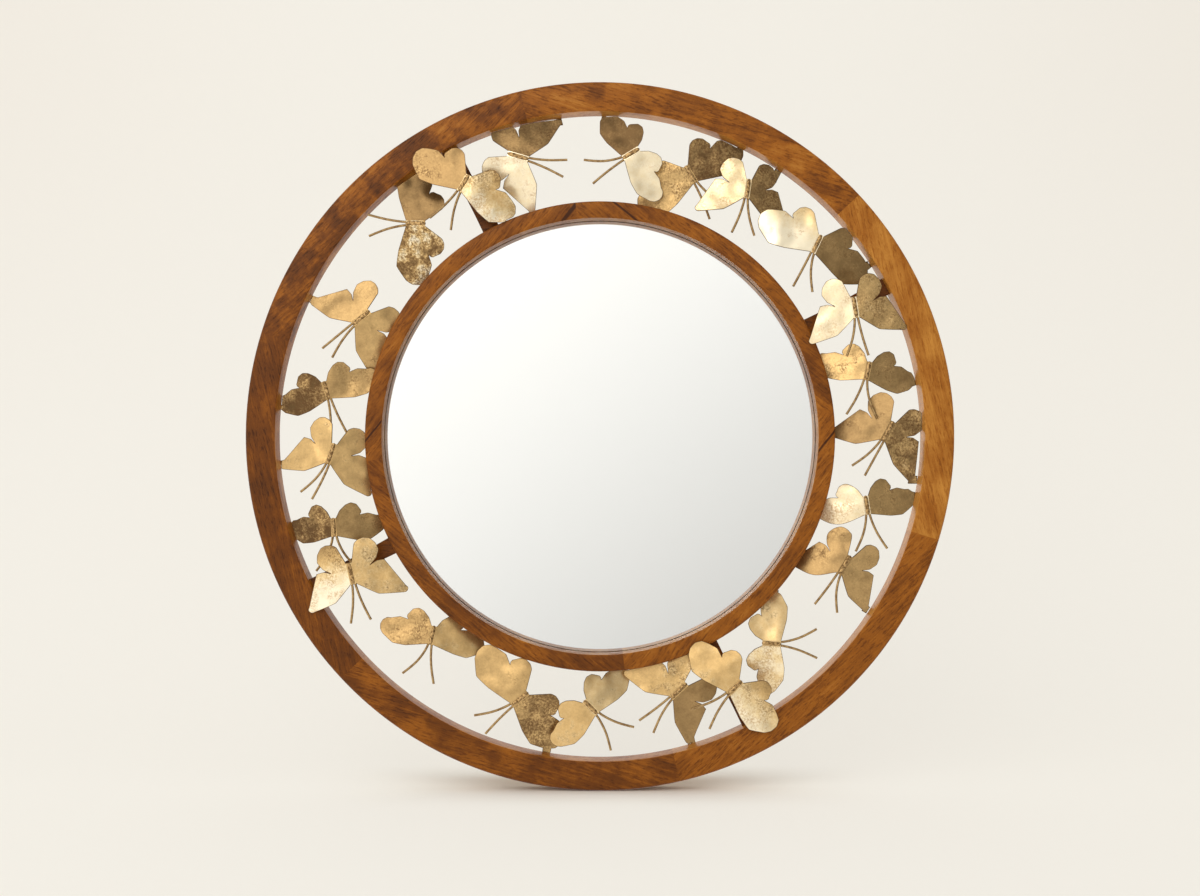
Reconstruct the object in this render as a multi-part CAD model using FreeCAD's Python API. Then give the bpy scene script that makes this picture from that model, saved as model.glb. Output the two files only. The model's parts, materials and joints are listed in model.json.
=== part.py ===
import FreeCAD
import Part
import math
import os
from FreeCAD import Vector

# Round wall mirror: two wooden rings with a wreath of folded sheet-metal butterflies between them.
# The frame, as seen from the front: X to the right, Z up, Y towards the wall. The origin is the middle
# of the backing board's back face, so the wall is the plane y = 0 and all sizes are millimetres.
# A clock angle is in degrees, clockwise from the top as seen from the front.

# Rings
OUTER_DIAMETER = 762.0
OUTER_FACE = 32.0        # width of the outer ring
GAP = 96.3               # from ring to ring
INNER_FACE = 18.2        # width of the inner ring
RING_DEPTH = 25.0
STAND_OFF = 5.0          # from the rings' back to the wall, room for the wing tips and nail heads
OUTER_SOFT_EDGE = 2.5    # front outer corner of both rings
OUTER_SEGMENTS = 6
OUTER_FIRST_SEAM = 47.0
INNER_SEGMENTS = 4
INNER_FIRST_SEAM = 84.0

# Glass and backing board
GLASS_THICKNESS = 4.0
GLASS_LIP = 5.0          # how far the inner ring covers the glass
GLASS_PLAY = 0.5
BOARD_THICKNESS = 6.0
BOARD_STEP = 6.0         # width of the step that the board is screwed to
BOARD_PLAY = 0.5
BOARD_SCREWS = 4
BOARD_SCREW_FIRST = 17.0
BOARD_SCREW_HEAD_R = 2.6
BOARD_SCREW_SHANK_R = 1.3
BOARD_SCREW_HEAD_H = 2.0
BOARD_SCREW_LENGTH = 15.0
SCREW_PLAY = 0.15
SCREW_SIDES = 6
FLUSH = 0.2              # how far a countersunk head lies below its surface

# Spokes between the rings, each with a dowel at both ends
SPOKES = 4
SPOKE_FIRST_CLOCK = 62.3
SPOKE_END_WIDTH = 19.0
SPOKE_WAIST = 16.5
SPOKE_DEPTH = 14.0
SPOKE_FACETS = 4         # flats along each waisted side
DOWEL_R = 3.0
DOWEL_IN_SPOKE = 14.0
DOWEL_IN_OUTER = 14.0
DOWEL_IN_INNER = 8.0
DOWEL_PLAY = 0.1
DOWEL_FLUTES = 6

# Keyholes routed in the back of the outer ring
KEYHOLE_CLOCK = 36.0
KEYHOLE_ENTRY_R = 5.0
KEYHOLE_MOUTH_R = 2.6
KEYHOLE_RISE = 11.0
KEYHOLE_DEPTH = 10.0
KEYHOLE_LIP = 3.5        # wood left over the screw's head
KEYHOLE_SIDES = 8

# Butterflies
SHEET = 1.0
SPINE_HALF_WIDTH = 3.0
CLEARANCE = 0.3
OUTER_UNDER = 7.5        # how far a wing tip reaches behind the outer ring
INNER_UNDER = 6.0        # and behind the inner ring
SNIP_TURN = 38.0         # an outline's curves are cut in straight snips, each turning by at most this
LUG_WIDTH = 8.0          # width of the lug behind the ring that takes the nail
LUG_ROOT = 6.0           # how far the lug runs back into the wing
EDGE_SHARE = 0.55        # the wing's outer edge begins at this share of its reach
TRIM_SIDES = 90          # straight snips all round where wings are trimmed to the rings
STEEPEST_FOLD = 40.0
FOLD_TRIALS = 16         # halvings of that angle when a fold is found

# Nails through the wing tips into the backs of the rings
OUTER_INSET = 4.5
INNER_INSET = 3.4
NAIL_SHANK_R = 0.8
NAIL_HEAD_R = 1.8
NAIL_HEAD_H = 0.6
NAIL_LENGTH = 9.0
NAIL_PLAY = 0.1
NAIL_SIDES = 4

# Posts that carry the four front butterflies on the spokes
POST_R = 1.6
POST_IN_SPOKE = 8.0
POST_SIDES = 6

# Antennae
WIRE_R = 1.05
WIRE_SIDES = 5
FEELER_LENGTH = 42.0
FEELER_STEPS = 3
FEELER_ROOT_SHARE = 0.118  # of the wing's reach: the wire that is brazed behind the spine
FEELER_PITCH = 1.5       # half the distance between the two wires at their root
FEELER_CURL = 0.6        # how much of a wire's lean is added from root to tip
FEELER_TURNS = 90        # degrees that a run of wire may turn aside to stay between the rings
WIRE_ROOM = 1.2          # from a wire's middle to a ring's wall, at least

OVERRUN = 5.0            # how far a cutting tool passes its work

OUTER_R = OUTER_DIAMETER / 2
OUTER_IN = OUTER_R - OUTER_FACE
INNER_OUT = OUTER_IN - GAP
INNER_IN = INNER_OUT - INNER_FACE
RING_BACK = -STAND_OFF
RING_FRONT = RING_BACK - RING_DEPTH
BOARD_FRONT = -BOARD_THICKNESS
GLASS_FRONT = BOARD_FRONT - GLASS_THICKNESS
GLASS_SEAT_R = INNER_IN + GLASS_LIP
BOARD_SEAT_R = GLASS_SEAT_R + BOARD_STEP
BOARD_SCREW_R = GLASS_SEAT_R + BOARD_STEP / 2
DOWEL_Y = RING_BACK - SPOKE_DEPTH / 2
POST_END_Y = RING_BACK - SPOKE_DEPTH + POST_IN_SPOKE
KEYHOLE_R = OUTER_R - OUTER_FACE / 2 - KEYHOLE_RISE / 2

# One half of a wing sheet, as shares of its reach: along the spine, head end positive, and away from it.
# Each row is the middle and the end of a curved stretch; the outline starts at the tail end of the spine.
ROUNDED_START_SHARE = (-0.147, 0.0)
ROUNDED_SHARES = [
    (-0.300, 0.090, -0.405, 0.205),
    (-0.425, 0.400, -0.300, 0.495),
    (-0.240, 0.515, -0.190, 0.478),
    (-0.235, 0.640, -0.185, 0.810),
    (-0.010, 0.985, 0.175, 0.900),
    (0.270, 0.660, 0.235, 0.390),
    (0.210, 0.190, 0.162, 0.0),
]
SLENDER_START_SHARE = (-0.165, 0.0)
SLENDER_SHARES = [
    (-0.300, 0.080, -0.400, 0.200),
    (-0.420, 0.380, -0.310, 0.480),
    (-0.250, 0.505, -0.200, 0.470),
    (-0.220, 0.620, -0.170, 0.790),
    (-0.030, 0.985, 0.130, 0.900),
    (0.210, 0.660, 0.210, 0.400),
    (0.205, 0.200, 0.175, 0.0),
]
SWALLOWTAIL_START_SHARE = (-0.162, 0.0)
SWALLOWTAIL_SHARES = [
    (-0.300, 0.062, -0.440, 0.100),
    (-0.505, 0.215, -0.480, 0.365),
    (-0.390, 0.445, -0.270, 0.475),
    (-0.145, 0.405, -0.060, 0.285),
    (-0.105, 0.400, -0.100, 0.530),
    (0.140, 0.645, 0.380, 0.780),
    (0.455, 0.800, 0.480, 0.735),
    (0.430, 0.530, 0.350, 0.340),
    (0.270, 0.150, 0.176, 0.0),
]
OUTLINES = {
    "rounded": (ROUNDED_START_SHARE, ROUNDED_SHARES),
    "slender": (SLENDER_START_SHARE, SLENDER_SHARES),
    "swallowtail": (SWALLOWTAIL_START_SHARE, SWALLOWTAIL_SHARES),
}

# Each butterfly: outline; size, as a share of the largest; clock angle; share of the gap at which its
# middle lies, from the inner ring; heading, in degrees clockwise from straight outwards; share of the
# rings' depth that its spine stands in front of their backs; tilt of its outer side towards the wall; fold
# of the left and the right half towards the wall, in degrees, or "tip" or "edge" where the fold brings that
# end of the half down behind a ring, or on to a ring's face; and the antennae's lean to the left and half
# the angle between them.
BUTTERFLY_SHARES = [
    ("swallowtail", 1.00, 343.6, 0.65, 122, 0.66, 0, "tip", 16, 2, 11),
    ("slender", 0.87, 6.3, 0.56, -127, 0.78, 0, 10, "tip", -10, 17),
    ("rounded", 1.00, 19.0, 0.50, 129, 0.42, 0, "tip", 11, 5, 14),
    ("swallowtail", 0.97, 30.8, 0.61, 159, 0.72, 14, "edge", 14, 3, 15),
    ("rounded", 1.03, 48.4, 0.62, 158, 0.84, 6, "edge", 3, 11, 13),
    ("swallowtail", 0.97, 63.1, 0.54, 108, 1.40, 0, "tip", 10, -7, 14),
    ("slender", 0.87, 76.2, 0.46, 116, 0.78, 0, "tip", 17, 6, 21),
    ("swallowtail", 1.03, 88.9, 0.60, 120, 0.76, 0, "tip", 22, -10, 10),
    ("slender", 0.87, 104.4, 0.46, 67, 0.70, 0, "tip", 17, -3, 22),
    ("swallowtail", 0.98, 117.6, 0.47, 94, 0.74, 0, "tip", 20, 11, 16),
    ("slender", 0.87, 140.4, 0.39, -47, 0.60, 0, "tip", 12, 4, 20),
    ("rounded", 0.95, 151.7, 0.53, 74, 1.40, 0, "tip", 8, -2, 18),
    ("swallowtail", 1.00, 162.7, 0.36, 64, 0.64, 0, "tip", 10, 6, 12),
    ("slender", 0.87, 182.0, 0.41, -47, 0.68, 0, "edge", 6, 0, 23),
    ("rounded", 1.05, 196.9, 0.45, 35, 0.62, 0, "edge", 8, -7, 14),
    ("slender", 0.87, 220.2, 0.29, -28, 0.60, -14, "edge", 12, -7, 23),
    ("swallowtail", 1.00, 241.2, 0.52, -74, 1.40, 0, 10, "tip", -2, 13),
    ("slender", 0.85, 251.2, 0.52, -75, 0.80, 0, 20, "tip", 0, 30),
    ("swallowtail", 1.00, 266.4, 0.39, -68, 0.74, 0, 18, "tip", -16, 8),
    ("slender", 0.87, 279.6, 0.49, -117, 0.56, 0, 8, "tip", -3, 11),
    ("swallowtail", 1.00, 296.5, 0.36, -66, 0.70, 0, 18, "tip", 8, 8),
    ("rounded", 1.00, 319.2, 0.53, -49, 0.66, 0, 14, "tip", 3, 14),
    ("rounded", 0.95, 331.8, 0.56, -120, 1.40, 0, 10, "tip", 2, 16),
]

# From its spine, the farthest point of a wing reaches across most of the gap. Where the pitch round the
# wreath is scarce, the butterflies are as much smaller as they need to be to leave each other room.
REACH_OF_GAP_SHARE = 0.706
REACH_OF_PITCH_SHARE = 0.8275
PITCH = math.pi * (OUTER_IN + INNER_OUT) / len(BUTTERFLY_SHARES)
ROOM_SHARE = min(1.0, REACH_OF_PITCH_SHARE * PITCH / (REACH_OF_GAP_SHARE * GAP))
WING_REACH = REACH_OF_GAP_SHARE * GAP * ROOM_SHARE
WIRE_LENGTH = FEELER_LENGTH * ROOM_SHARE
QUARTER_TURN = 90.0


def clock_point(radius, clock, y):
    angle = math.radians(clock)
    return Vector(radius * math.sin(angle), y, radius * math.cos(angle))


def face_of(points):
    return Part.Face(Part.makePolygon(points + points[:1]))


def prism(points, direction):
    return face_of(points).extrude(direction)


def disc(radius, front, back):
    return Part.makeCylinder(radius, back - front, Vector(0, front, 0), Vector(0, 1, 0))


def rod_section(radius, sides, height):
    corners = []
    for i in range(sides):
        angle = 2 * math.pi * (i + 0.5) / sides
        corners.append(Vector(radius * math.cos(angle), radius * math.sin(angle), height))
    return Part.makePolygon(corners + corners[:1])


def rod(radius, length, start, direction, sides):
    """A prism of regular section along a direction, made along Z and then turned."""
    shape = Part.Face(rod_section(radius, sides, 0)).extrude(Vector(0, 0, length))
    shape.Placement = FreeCAD.Placement(start, FreeCAD.Rotation(Vector(0, 0, 1), direction))
    return shape


def cut_all(shape, tools):
    for tool in tools:
        shape = shape.cut(tool)
    return shape


def export(name, solids):
    shape = Part.makeCompound(solids) if len(solids) > 1 else solids[0]
    shape.exportStep("parts/" + name + ".step")
    volume = sum(s.Volume for s in shape.Solids)
    print(f"{name:26s} solids {len(shape.Solids):2d}  volume {volume / 1000:9.2f} cm3")


# Rings

def ring_segments(profile, count, first_seam):
    """Equal wooden segments, glued end to end; the profile's points are radius and y."""
    sweep = 360.0 / count
    axis = Vector(0, 1, 0)
    segments = []
    for i in range(count):
        section = face_of([Vector(r, y, 0) for r, y in profile])
        section.rotate(Vector(0, 0, 0), axis, first_seam + i * sweep - QUARTER_TURN)
        segments.append(section.revolve(Vector(0, 0, 0), axis, sweep))
    return segments


def outer_profile():
    return [
        (OUTER_IN, RING_BACK),
        (OUTER_IN, RING_FRONT),
        (OUTER_R - OUTER_SOFT_EDGE, RING_FRONT),
        (OUTER_R, RING_FRONT + OUTER_SOFT_EDGE),
        (OUTER_R, RING_BACK),
    ]


def inner_profile():
    return [
        (INNER_IN, GLASS_FRONT),
        (INNER_IN, RING_FRONT),
        (INNER_OUT - OUTER_SOFT_EDGE, RING_FRONT),
        (INNER_OUT, RING_FRONT + OUTER_SOFT_EDGE),
        (INNER_OUT, RING_BACK),
        (BOARD_SEAT_R, RING_BACK),
        (BOARD_SEAT_R, BOARD_FRONT),
        (GLASS_SEAT_R, BOARD_FRONT),
        (GLASS_SEAT_R, GLASS_FRONT),
    ]


def keyhole(side):
    """The tool that routs one keyhole: a round entry and a slot that rises from it, wider below its lip."""
    entry = clock_point(KEYHOLE_R, side * KEYHOLE_CLOCK, RING_BACK)
    rise = Vector(0, 0, KEYHOLE_RISE)
    inwards = Vector(0, -1, 0)
    start = entry + Vector(0, OVERRUN, 0)
    full = KEYHOLE_DEPTH + OVERRUN

    def slot(radius, origin, depth):
        left = origin + Vector(-radius, 0, 0)
        right = origin + Vector(radius, 0, 0)
        shape = prism([left, right, right + rise, left + rise], inwards * depth)
        return shape.fuse(rod(radius, depth, origin + rise, inwards, KEYHOLE_SIDES))

    tool = Part.makeCylinder(KEYHOLE_ENTRY_R, full, start, inwards)
    tool = tool.fuse(slot(KEYHOLE_MOUTH_R, start, full - OVERRUN / 2))
    below_lip = entry + Vector(0, -KEYHOLE_LIP, 0)
    return tool.fuse(slot(KEYHOLE_ENTRY_R, below_lip, KEYHOLE_DEPTH - KEYHOLE_LIP)).removeSplitter()


# Glass, board and their screws

def glass():
    return disc(GLASS_SEAT_R - GLASS_PLAY, GLASS_FRONT, BOARD_FRONT)


def taper(start_radius, end_radius, length, start, direction, sides):
    """A rod that narrows evenly, with the flats of rod()."""
    rings = []
    for radius, height in ((start_radius, 0), (end_radius, length)):
        rings.append(rod_section(radius, sides, height))
    shape = Part.makeLoft(rings, True, True)
    shape.Placement = FreeCAD.Placement(start, FreeCAD.Rotation(Vector(0, 0, 1), direction))
    return shape


def board_screw(clock, play):
    """A countersunk screw, or with play the hole that it needs."""
    head = clock_point(BOARD_SCREW_R, clock, -FLUSH)
    inwards = Vector(0, -1, 0)
    neck = head + inwards * BOARD_SCREW_HEAD_H
    shank_length = BOARD_SCREW_LENGTH - BOARD_SCREW_HEAD_H + play
    head_r = BOARD_SCREW_HEAD_R + play
    shank_r = BOARD_SCREW_SHANK_R + play
    screw = taper(head_r, shank_r, BOARD_SCREW_HEAD_H, head, inwards, SCREW_SIDES)
    screw = screw.fuse(rod(shank_r, shank_length, neck, inwards, SCREW_SIDES))
    if play:
        mouth = head - inwards * (FLUSH + OVERRUN)
        screw = screw.fuse(rod(head_r, FLUSH + OVERRUN, mouth, inwards, SCREW_SIDES))
    return screw.removeSplitter()


def board_screw_clocks():
    return [BOARD_SCREW_FIRST + i * 360.0 / BOARD_SCREWS for i in range(BOARD_SCREWS)]


# Spokes

def spoke_clocks():
    return [SPOKE_FIRST_CLOCK + i * 360.0 / SPOKES for i in range(SPOKES)]


def spoke(clock):
    """A waisted batten between the rings, its ends hollowed to their walls; made upright, then turned."""
    low = INNER_OUT - OVERRUN
    high = OUTER_IN + OVERRUN
    middle = (low + high) / 2
    end = SPOKE_END_WIDTH / 2
    waist = SPOKE_WAIST / 2
    left = Part.Arc(Vector(-end, 0, low), Vector(-waist, 0, middle), Vector(-end, 0, high))
    right = Part.Arc(Vector(end, 0, high), Vector(waist, 0, middle), Vector(end, 0, low))
    corners = left.discretize(SPOKE_FACETS + 1) + right.discretize(SPOKE_FACETS + 1)
    shape = prism(corners, Vector(0, -SPOKE_DEPTH, 0))
    shape.translate(Vector(0, RING_BACK, 0))
    front = RING_BACK - SPOKE_DEPTH
    room = disc(OUTER_IN, front - OVERRUN, OVERRUN).cut(disc(INNER_OUT, front - OVERRUN, OVERRUN))
    shape = shape.common(room)
    shape.rotate(Vector(0, 0, 0), Vector(0, 1, 0), clock)
    return shape


def spoke_dowels(clock, play):
    outwards = clock_point(1, clock, 0)
    inner_start = outwards * (INNER_OUT - DOWEL_IN_INNER - play) + Vector(0, DOWEL_Y, 0)
    inner_length = DOWEL_IN_INNER + DOWEL_IN_SPOKE + 2 * play
    outer_start = outwards * (OUTER_IN - DOWEL_IN_SPOKE - play) + Vector(0, DOWEL_Y, 0)
    outer_length = DOWEL_IN_SPOKE + DOWEL_IN_OUTER + 2 * play
    return [
        rod(DOWEL_R + play, inner_length, inner_start, outwards, DOWEL_FLUTES),
        rod(DOWEL_R + play, outer_length, outer_start, outwards, DOWEL_FLUTES),
    ]


# Butterflies

class Butterfly:
    """One folded sheet and its antennae, with x from tail to head, y to the left and z to the front."""

    def __init__(self, row):
        outline, size_share, self.clock, gap_share, heading, depth_share, self.tilt = row[:7]
        left, right, self.lean, self.spread = row[7:]
        self.start_share, self.stretch_shares = OUTLINES[outline]
        self.reach = size_share * WING_REACH
        self.radius = INNER_OUT + gap_share * GAP
        self.heading = self.clock + heading
        self.spine_y = RING_BACK - depth_share * RING_DEPTH
        self.in_front = self.spine_y + SHEET < RING_FRONT
        self.middle = clock_point(self.radius, self.clock, self.spine_y)
        self.folds = {1: left, -1: right}
        self.nail_at = {}
        self.lug_ends = {}
        for side, fold in self.folds.items():
            if fold in ("tip", "edge"):
                self.meet_ring(side, fold)

    def to_frame(self):
        along = clock_point(1, self.heading, 0)
        front = Vector(0, -1, 0)
        left = front.cross(along)
        tangent = clock_point(1, self.clock + QUARTER_TURN, 0)
        lie = FreeCAD.Rotation(along, left, front, "XZY")
        return FreeCAD.Placement(self.middle, FreeCAD.Rotation(tangent, -self.tilt).multiply(lie))

    def outline(self, side):
        """Points of one half in the flat, from the tail end of the fold round to its head end."""
        width = SPINE_HALF_WIDTH
        scale = self.reach

        def at(along, away):
            return Vector(along * scale, side * (width + away * (scale - width)), 0)

        last = at(*self.start_share)
        points = [last]
        for mid_along, mid_away, end_along, end_away in self.stretch_shares:
            end = at(end_along, end_away)
            arc = Part.Arc(last, at(mid_along, mid_away), end).toShape()
            snips = math.ceil(math.degrees(arc.Length / arc.Curve.Radius) / SNIP_TURN)
            points += arc.discretize(snips + 1)[1:]
            last = end
        return points

    def hinge(self, side):
        return Vector(0, side * SPINE_HALF_WIDTH, 0)

    def turned(self, point, side, fold):
        """Where a point of the flat half goes when the half is folded."""
        away = abs(point.y) - SPINE_HALF_WIDTH
        angle = math.radians(fold)
        across = SPINE_HALF_WIDTH + away * math.cos(angle)
        return Vector(point.x, side * across, -away * math.sin(angle))

    def placed(self, side, point, fold):
        return self.to_frame().multVec(self.turned(point, side, fold))

    def radius_of(self, side, point, fold):
        placed = self.placed(side, point, fold)
        return math.hypot(placed.x, placed.z)

    def way_out(self, side, point, fold, way):
        """The direction in the flat half that leads straight to its ring once the half is folded."""
        placed = self.placed(side, point, fold)
        target = Vector(placed.x, 0, placed.z).normalize() * way
        along = self.placed(side, point + Vector(1, 0, 0), fold) - placed
        away = self.placed(side, point + Vector(0, 1, 0), fold) - placed
        return Vector(target.dot(along), target.dot(away), 0).normalize()

    def level_at(self, side, point, fold, edge, way):
        """The y of the folded sheet where the straight way from a point meets the ring's edge."""
        rise = way * (edge - self.radius_of(side, point, fold))
        return self.placed(side, point + self.way_out(side, point, fold, way) * rise, fold).y

    def meet_ring(self, side, end):
        """Finds a half's nail, and the fold that brings its end behind its ring or on the ring's face."""
        place = self.to_frame()
        reach = max(abs(p.y) for p in self.outline(side))

        def radius(point):
            placed = place.multVec(point)
            return math.hypot(placed.x, placed.z)

        points = [p for p in self.outline(side) if abs(p.y) >= reach * EDGE_SHARE]
        tip = max(points, key=lambda p: abs(p.y))
        if side * math.sin(math.radians(self.heading - self.clock)) > 0:
            way, edge, inset, under = 1, OUTER_IN, OUTER_INSET, OUTER_UNDER
        else:
            way, edge, inset, under = -1, INNER_OUT, INNER_INSET, INNER_UNDER
        point = tip if end == "tip" else max(points, key=lambda p: way * radius(p))
        level = RING_BACK + CLEARANCE
        if self.in_front:
            edge = radius(point)
            level = RING_FRONT - 2 * CLEARANCE - SHEET
        low = 0.0
        high = STEEPEST_FOLD
        for _ in range(FOLD_TRIALS):
            fold = (low + high) / 2
            if self.level_at(side, point, fold, edge, way) < level:
                low = fold
            else:
                high = fold
        self.folds[side] = fold
        if self.in_front:
            return
        out = self.way_out(side, point, fold, way)
        rise = way * (edge - self.radius_of(side, point, fold))
        self.nail_at[side] = point + out * (rise + inset)
        self.lug_ends[side] = (point - out * LUG_ROOT, point + out * (rise + under))
        print(f"  half {side:+d} at {self.clock:5.1f}: fold {fold:4.1f}, {rise:5.1f} from edge to ring")

    def half(self, side):
        """One half in the flat, with the lug behind the ring that its nail goes through."""
        through = Vector(0, 0, -SHEET)
        sheet = prism(self.outline(side), through)
        if side in self.nail_at:
            start, end = self.lug_ends[side]
            direction = (end - start).normalize()
            across = Vector(-direction.y, direction.x, 0) * (LUG_WIDTH / 2)
            lug = prism([start - across, end - across, end + across, start + across], through)
            sheet = sheet.fuse(lug).cut(self.nail(side, NAIL_PLAY))
        return sheet.removeSplitter()

    def folded(self, shape, side):
        shape.rotate(self.hinge(side), Vector(1, 0, 0), -side * self.folds[side])
        return shape

    def spine(self):
        tail = self.start_share[0] * self.reach
        head = self.stretch_shares[-1][2] * self.reach
        width = SPINE_HALF_WIDTH
        corners = [(tail, -width), (head, -width), (head + width / 2, -width / 2)]
        corners += [(head + width / 2, width / 2), (head, width), (tail, width)]
        return prism([Vector(x, y, 0) for x, y in corners], Vector(0, 0, -SHEET))

    def nail(self, side, play):
        """A nail with its head on the back of the sheet, or with play the hole that it needs."""
        foot = self.nail_at[side] + Vector(0, 0, -SHEET)
        front = Vector(0, 0, 1)
        shape = rod(NAIL_SHANK_R + play, SHEET + NAIL_LENGTH + play, foot, front, NAIL_SIDES)
        head_start = foot - front * NAIL_HEAD_H
        head = rod(NAIL_HEAD_R, NAIL_HEAD_H, head_start, front, NAIL_SIDES)
        return shape if play else shape.fuse(head)

    def placed_nails(self, play):
        nails = []
        for side in self.nail_at:
            shape = self.folded(self.nail(side, play), side)
            shape.Placement = self.to_frame().multiply(shape.Placement)
            nails.append(shape)
        return nails

    def wings(self):
        sheet = self.spine()
        for side in (1, -1):
            sheet = sheet.fuse(self.folded(self.half(side), side))
        sheet = sheet.removeSplitter()
        sheet.Placement = self.to_frame().multiply(sheet.Placement)
        sheet = cut_all(sheet, ring_room())
        return max(sheet.Solids, key=lambda s: s.Volume)

    def wire(self, side):
        """One antenna: straight runs that lean away more and more, from under the spine's head end."""
        head = self.stretch_shares[-1][2] * self.reach
        root = head - FEELER_ROOT_SHARE * self.reach
        depth = -SHEET - WIRE_R
        points = [Vector(x, side * FEELER_PITCH, depth) for x in (root, head)]
        angles = [0.0]
        total = self.lean + side * self.spread
        step = WIRE_LENGTH / FEELER_STEPS
        for i in range(FEELER_STEPS):
            bend = 1 - FEELER_CURL + 2 * FEELER_CURL * (i + 0.5) / FEELER_STEPS
            angles.append(self.clear_angle(points[-1], math.radians(total * bend), step))
            direction = Vector(math.cos(angles[-1]), math.sin(angles[-1]), 0)
            points.append(points[-1] + direction * step)
        sections = []
        for i, point in enumerate(points):
            before = angles[max(i - 1, 0)]
            after = angles[min(i, len(angles) - 1)]
            sections.append(self.wire_section(point, (before + after) / 2))
        return Part.makeLoft(sections, True, True)

    def clear_angle(self, start, angle, step):
        """The angle nearest to the wanted one at which a run of wire ends between the rings or in front."""
        place = self.to_frame()
        for turn in range(FEELER_TURNS):
            for way in (1, -1):
                tried = angle + way * math.radians(turn)
                end = place.multVec(start + Vector(math.cos(tried), math.sin(tried), 0) * step)
                radius = math.hypot(end.x, end.z)
                if self.in_front or INNER_OUT + WIRE_ROOM < radius < OUTER_IN - WIRE_ROOM:
                    return tried
        raise ValueError("this antenna finds no way between the rings")

    def wire_section(self, point, angle):
        across = Vector(-math.sin(angle), math.cos(angle), 0)
        corners = []
        for i in range(WIRE_SIDES):
            turn = 2 * math.pi * i / WIRE_SIDES
            up = Vector(0, 0, WIRE_R * math.sin(turn))
            corners.append(point + across * (WIRE_R * math.cos(turn)) + up)
        return Part.makePolygon(corners + corners[:1])

    def feelers(self):
        wires = []
        for side in (1, -1):
            shape = self.wire(side)
            shape.Placement = self.to_frame().multiply(shape.Placement)
            wires.append(shape)
        return wires

    def post(self, play):
        """The post from the back of the spine into the spoke."""
        start = Vector(self.middle.x, POST_END_Y + play, self.middle.z)
        length = POST_END_Y + play - (self.spine_y + SHEET)
        return rod(POST_R + play, length, start, Vector(0, -1, 0), POST_SIDES)


def ring_room():
    """What the rings and the trimmed ends keep free of sheet metal, with its round sides cut in snips."""
    front = RING_FRONT - CLEARANCE
    back = RING_BACK + CLEARANCE
    far = OUTER_R + OVERRUN

    def snips(radius, start, end):
        return rod(radius, end - start, Vector(0, start, 0), Vector(0, 1, 0), TRIM_SIDES)

    return [
        disc(far, front, back).cut(snips(OUTER_IN - CLEARANCE, front, back)),
        disc(far, back, OVERRUN).cut(snips(OUTER_IN + OUTER_UNDER, back, OVERRUN)),
        snips(INNER_OUT + 2 * CLEARANCE, front, back),
        snips(INNER_OUT - INNER_UNDER, back, OVERRUN),
    ]


def build():
    os.makedirs("parts", exist_ok=True)
    butterflies = [Butterfly(row) for row in BUTTERFLY_SHARES]
    front_ones = [b for b in butterflies if b.in_front]

    nail_holes = [hole for b in butterflies for hole in b.placed_nails(NAIL_PLAY)]
    dowel_holes = [hole for clock in spoke_clocks() for hole in spoke_dowels(clock, DOWEL_PLAY)]
    screw_holes = [board_screw(clock, SCREW_PLAY) for clock in board_screw_clocks()]
    post_holes = [b.post(CLEARANCE / 2) for b in front_ones]

    outer_tools = nail_holes + dowel_holes + [keyhole(-1), keyhole(1)]
    outer = ring_segments(outer_profile(), OUTER_SEGMENTS, OUTER_FIRST_SEAM)
    export("outer_ring", [cut_all(s, outer_tools) for s in outer])
    inner = ring_segments(inner_profile(), INNER_SEGMENTS, INNER_FIRST_SEAM)
    export("inner_ring", [cut_all(s, nail_holes + dowel_holes + screw_holes) for s in inner])

    export("mirror_glass", [glass()])
    board = disc(BOARD_SEAT_R - BOARD_PLAY, BOARD_FRONT, 0)
    export("backing_board", [cut_all(board, screw_holes)])
    export("board_screws", [board_screw(clock, 0) for clock in board_screw_clocks()])

    for number, clock in enumerate(spoke_clocks(), 1):
        export(f"spoke_{number}", [cut_all(spoke(clock), dowel_holes + post_holes)])
    export("spoke_dowels", [d for clock in spoke_clocks() for d in spoke_dowels(clock, 0)])
    export("butterfly_posts", [b.post(0) for b in front_ones])

    for number, butterfly in enumerate(butterflies, 1):
        export(f"butterfly_{number:02d}_wings", [butterfly.wings()])
        export(f"butterfly_{number:02d}_antennae", butterfly.feelers())
    export("wing_nails", [nail for b in butterflies for nail in b.placed_nails(0)])


build()
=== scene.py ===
# %% [markdown]
# # A round wall mirror with a wreath of gilded butterflies
#
# The object is an outer and an inner wooden ring, a mirror glass, and butterflies of folded sheet metal
# that fill the gap between the rings. The CAD model comes in as a fixed frame, in metres: X to the
# right, Z up and Y towards the wall. The lesson dresses it piece by piece. Whatever can be measured on
# the frame is measured, so that each new piece lies where the real one does.

# %% Load the frame
import math

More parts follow.
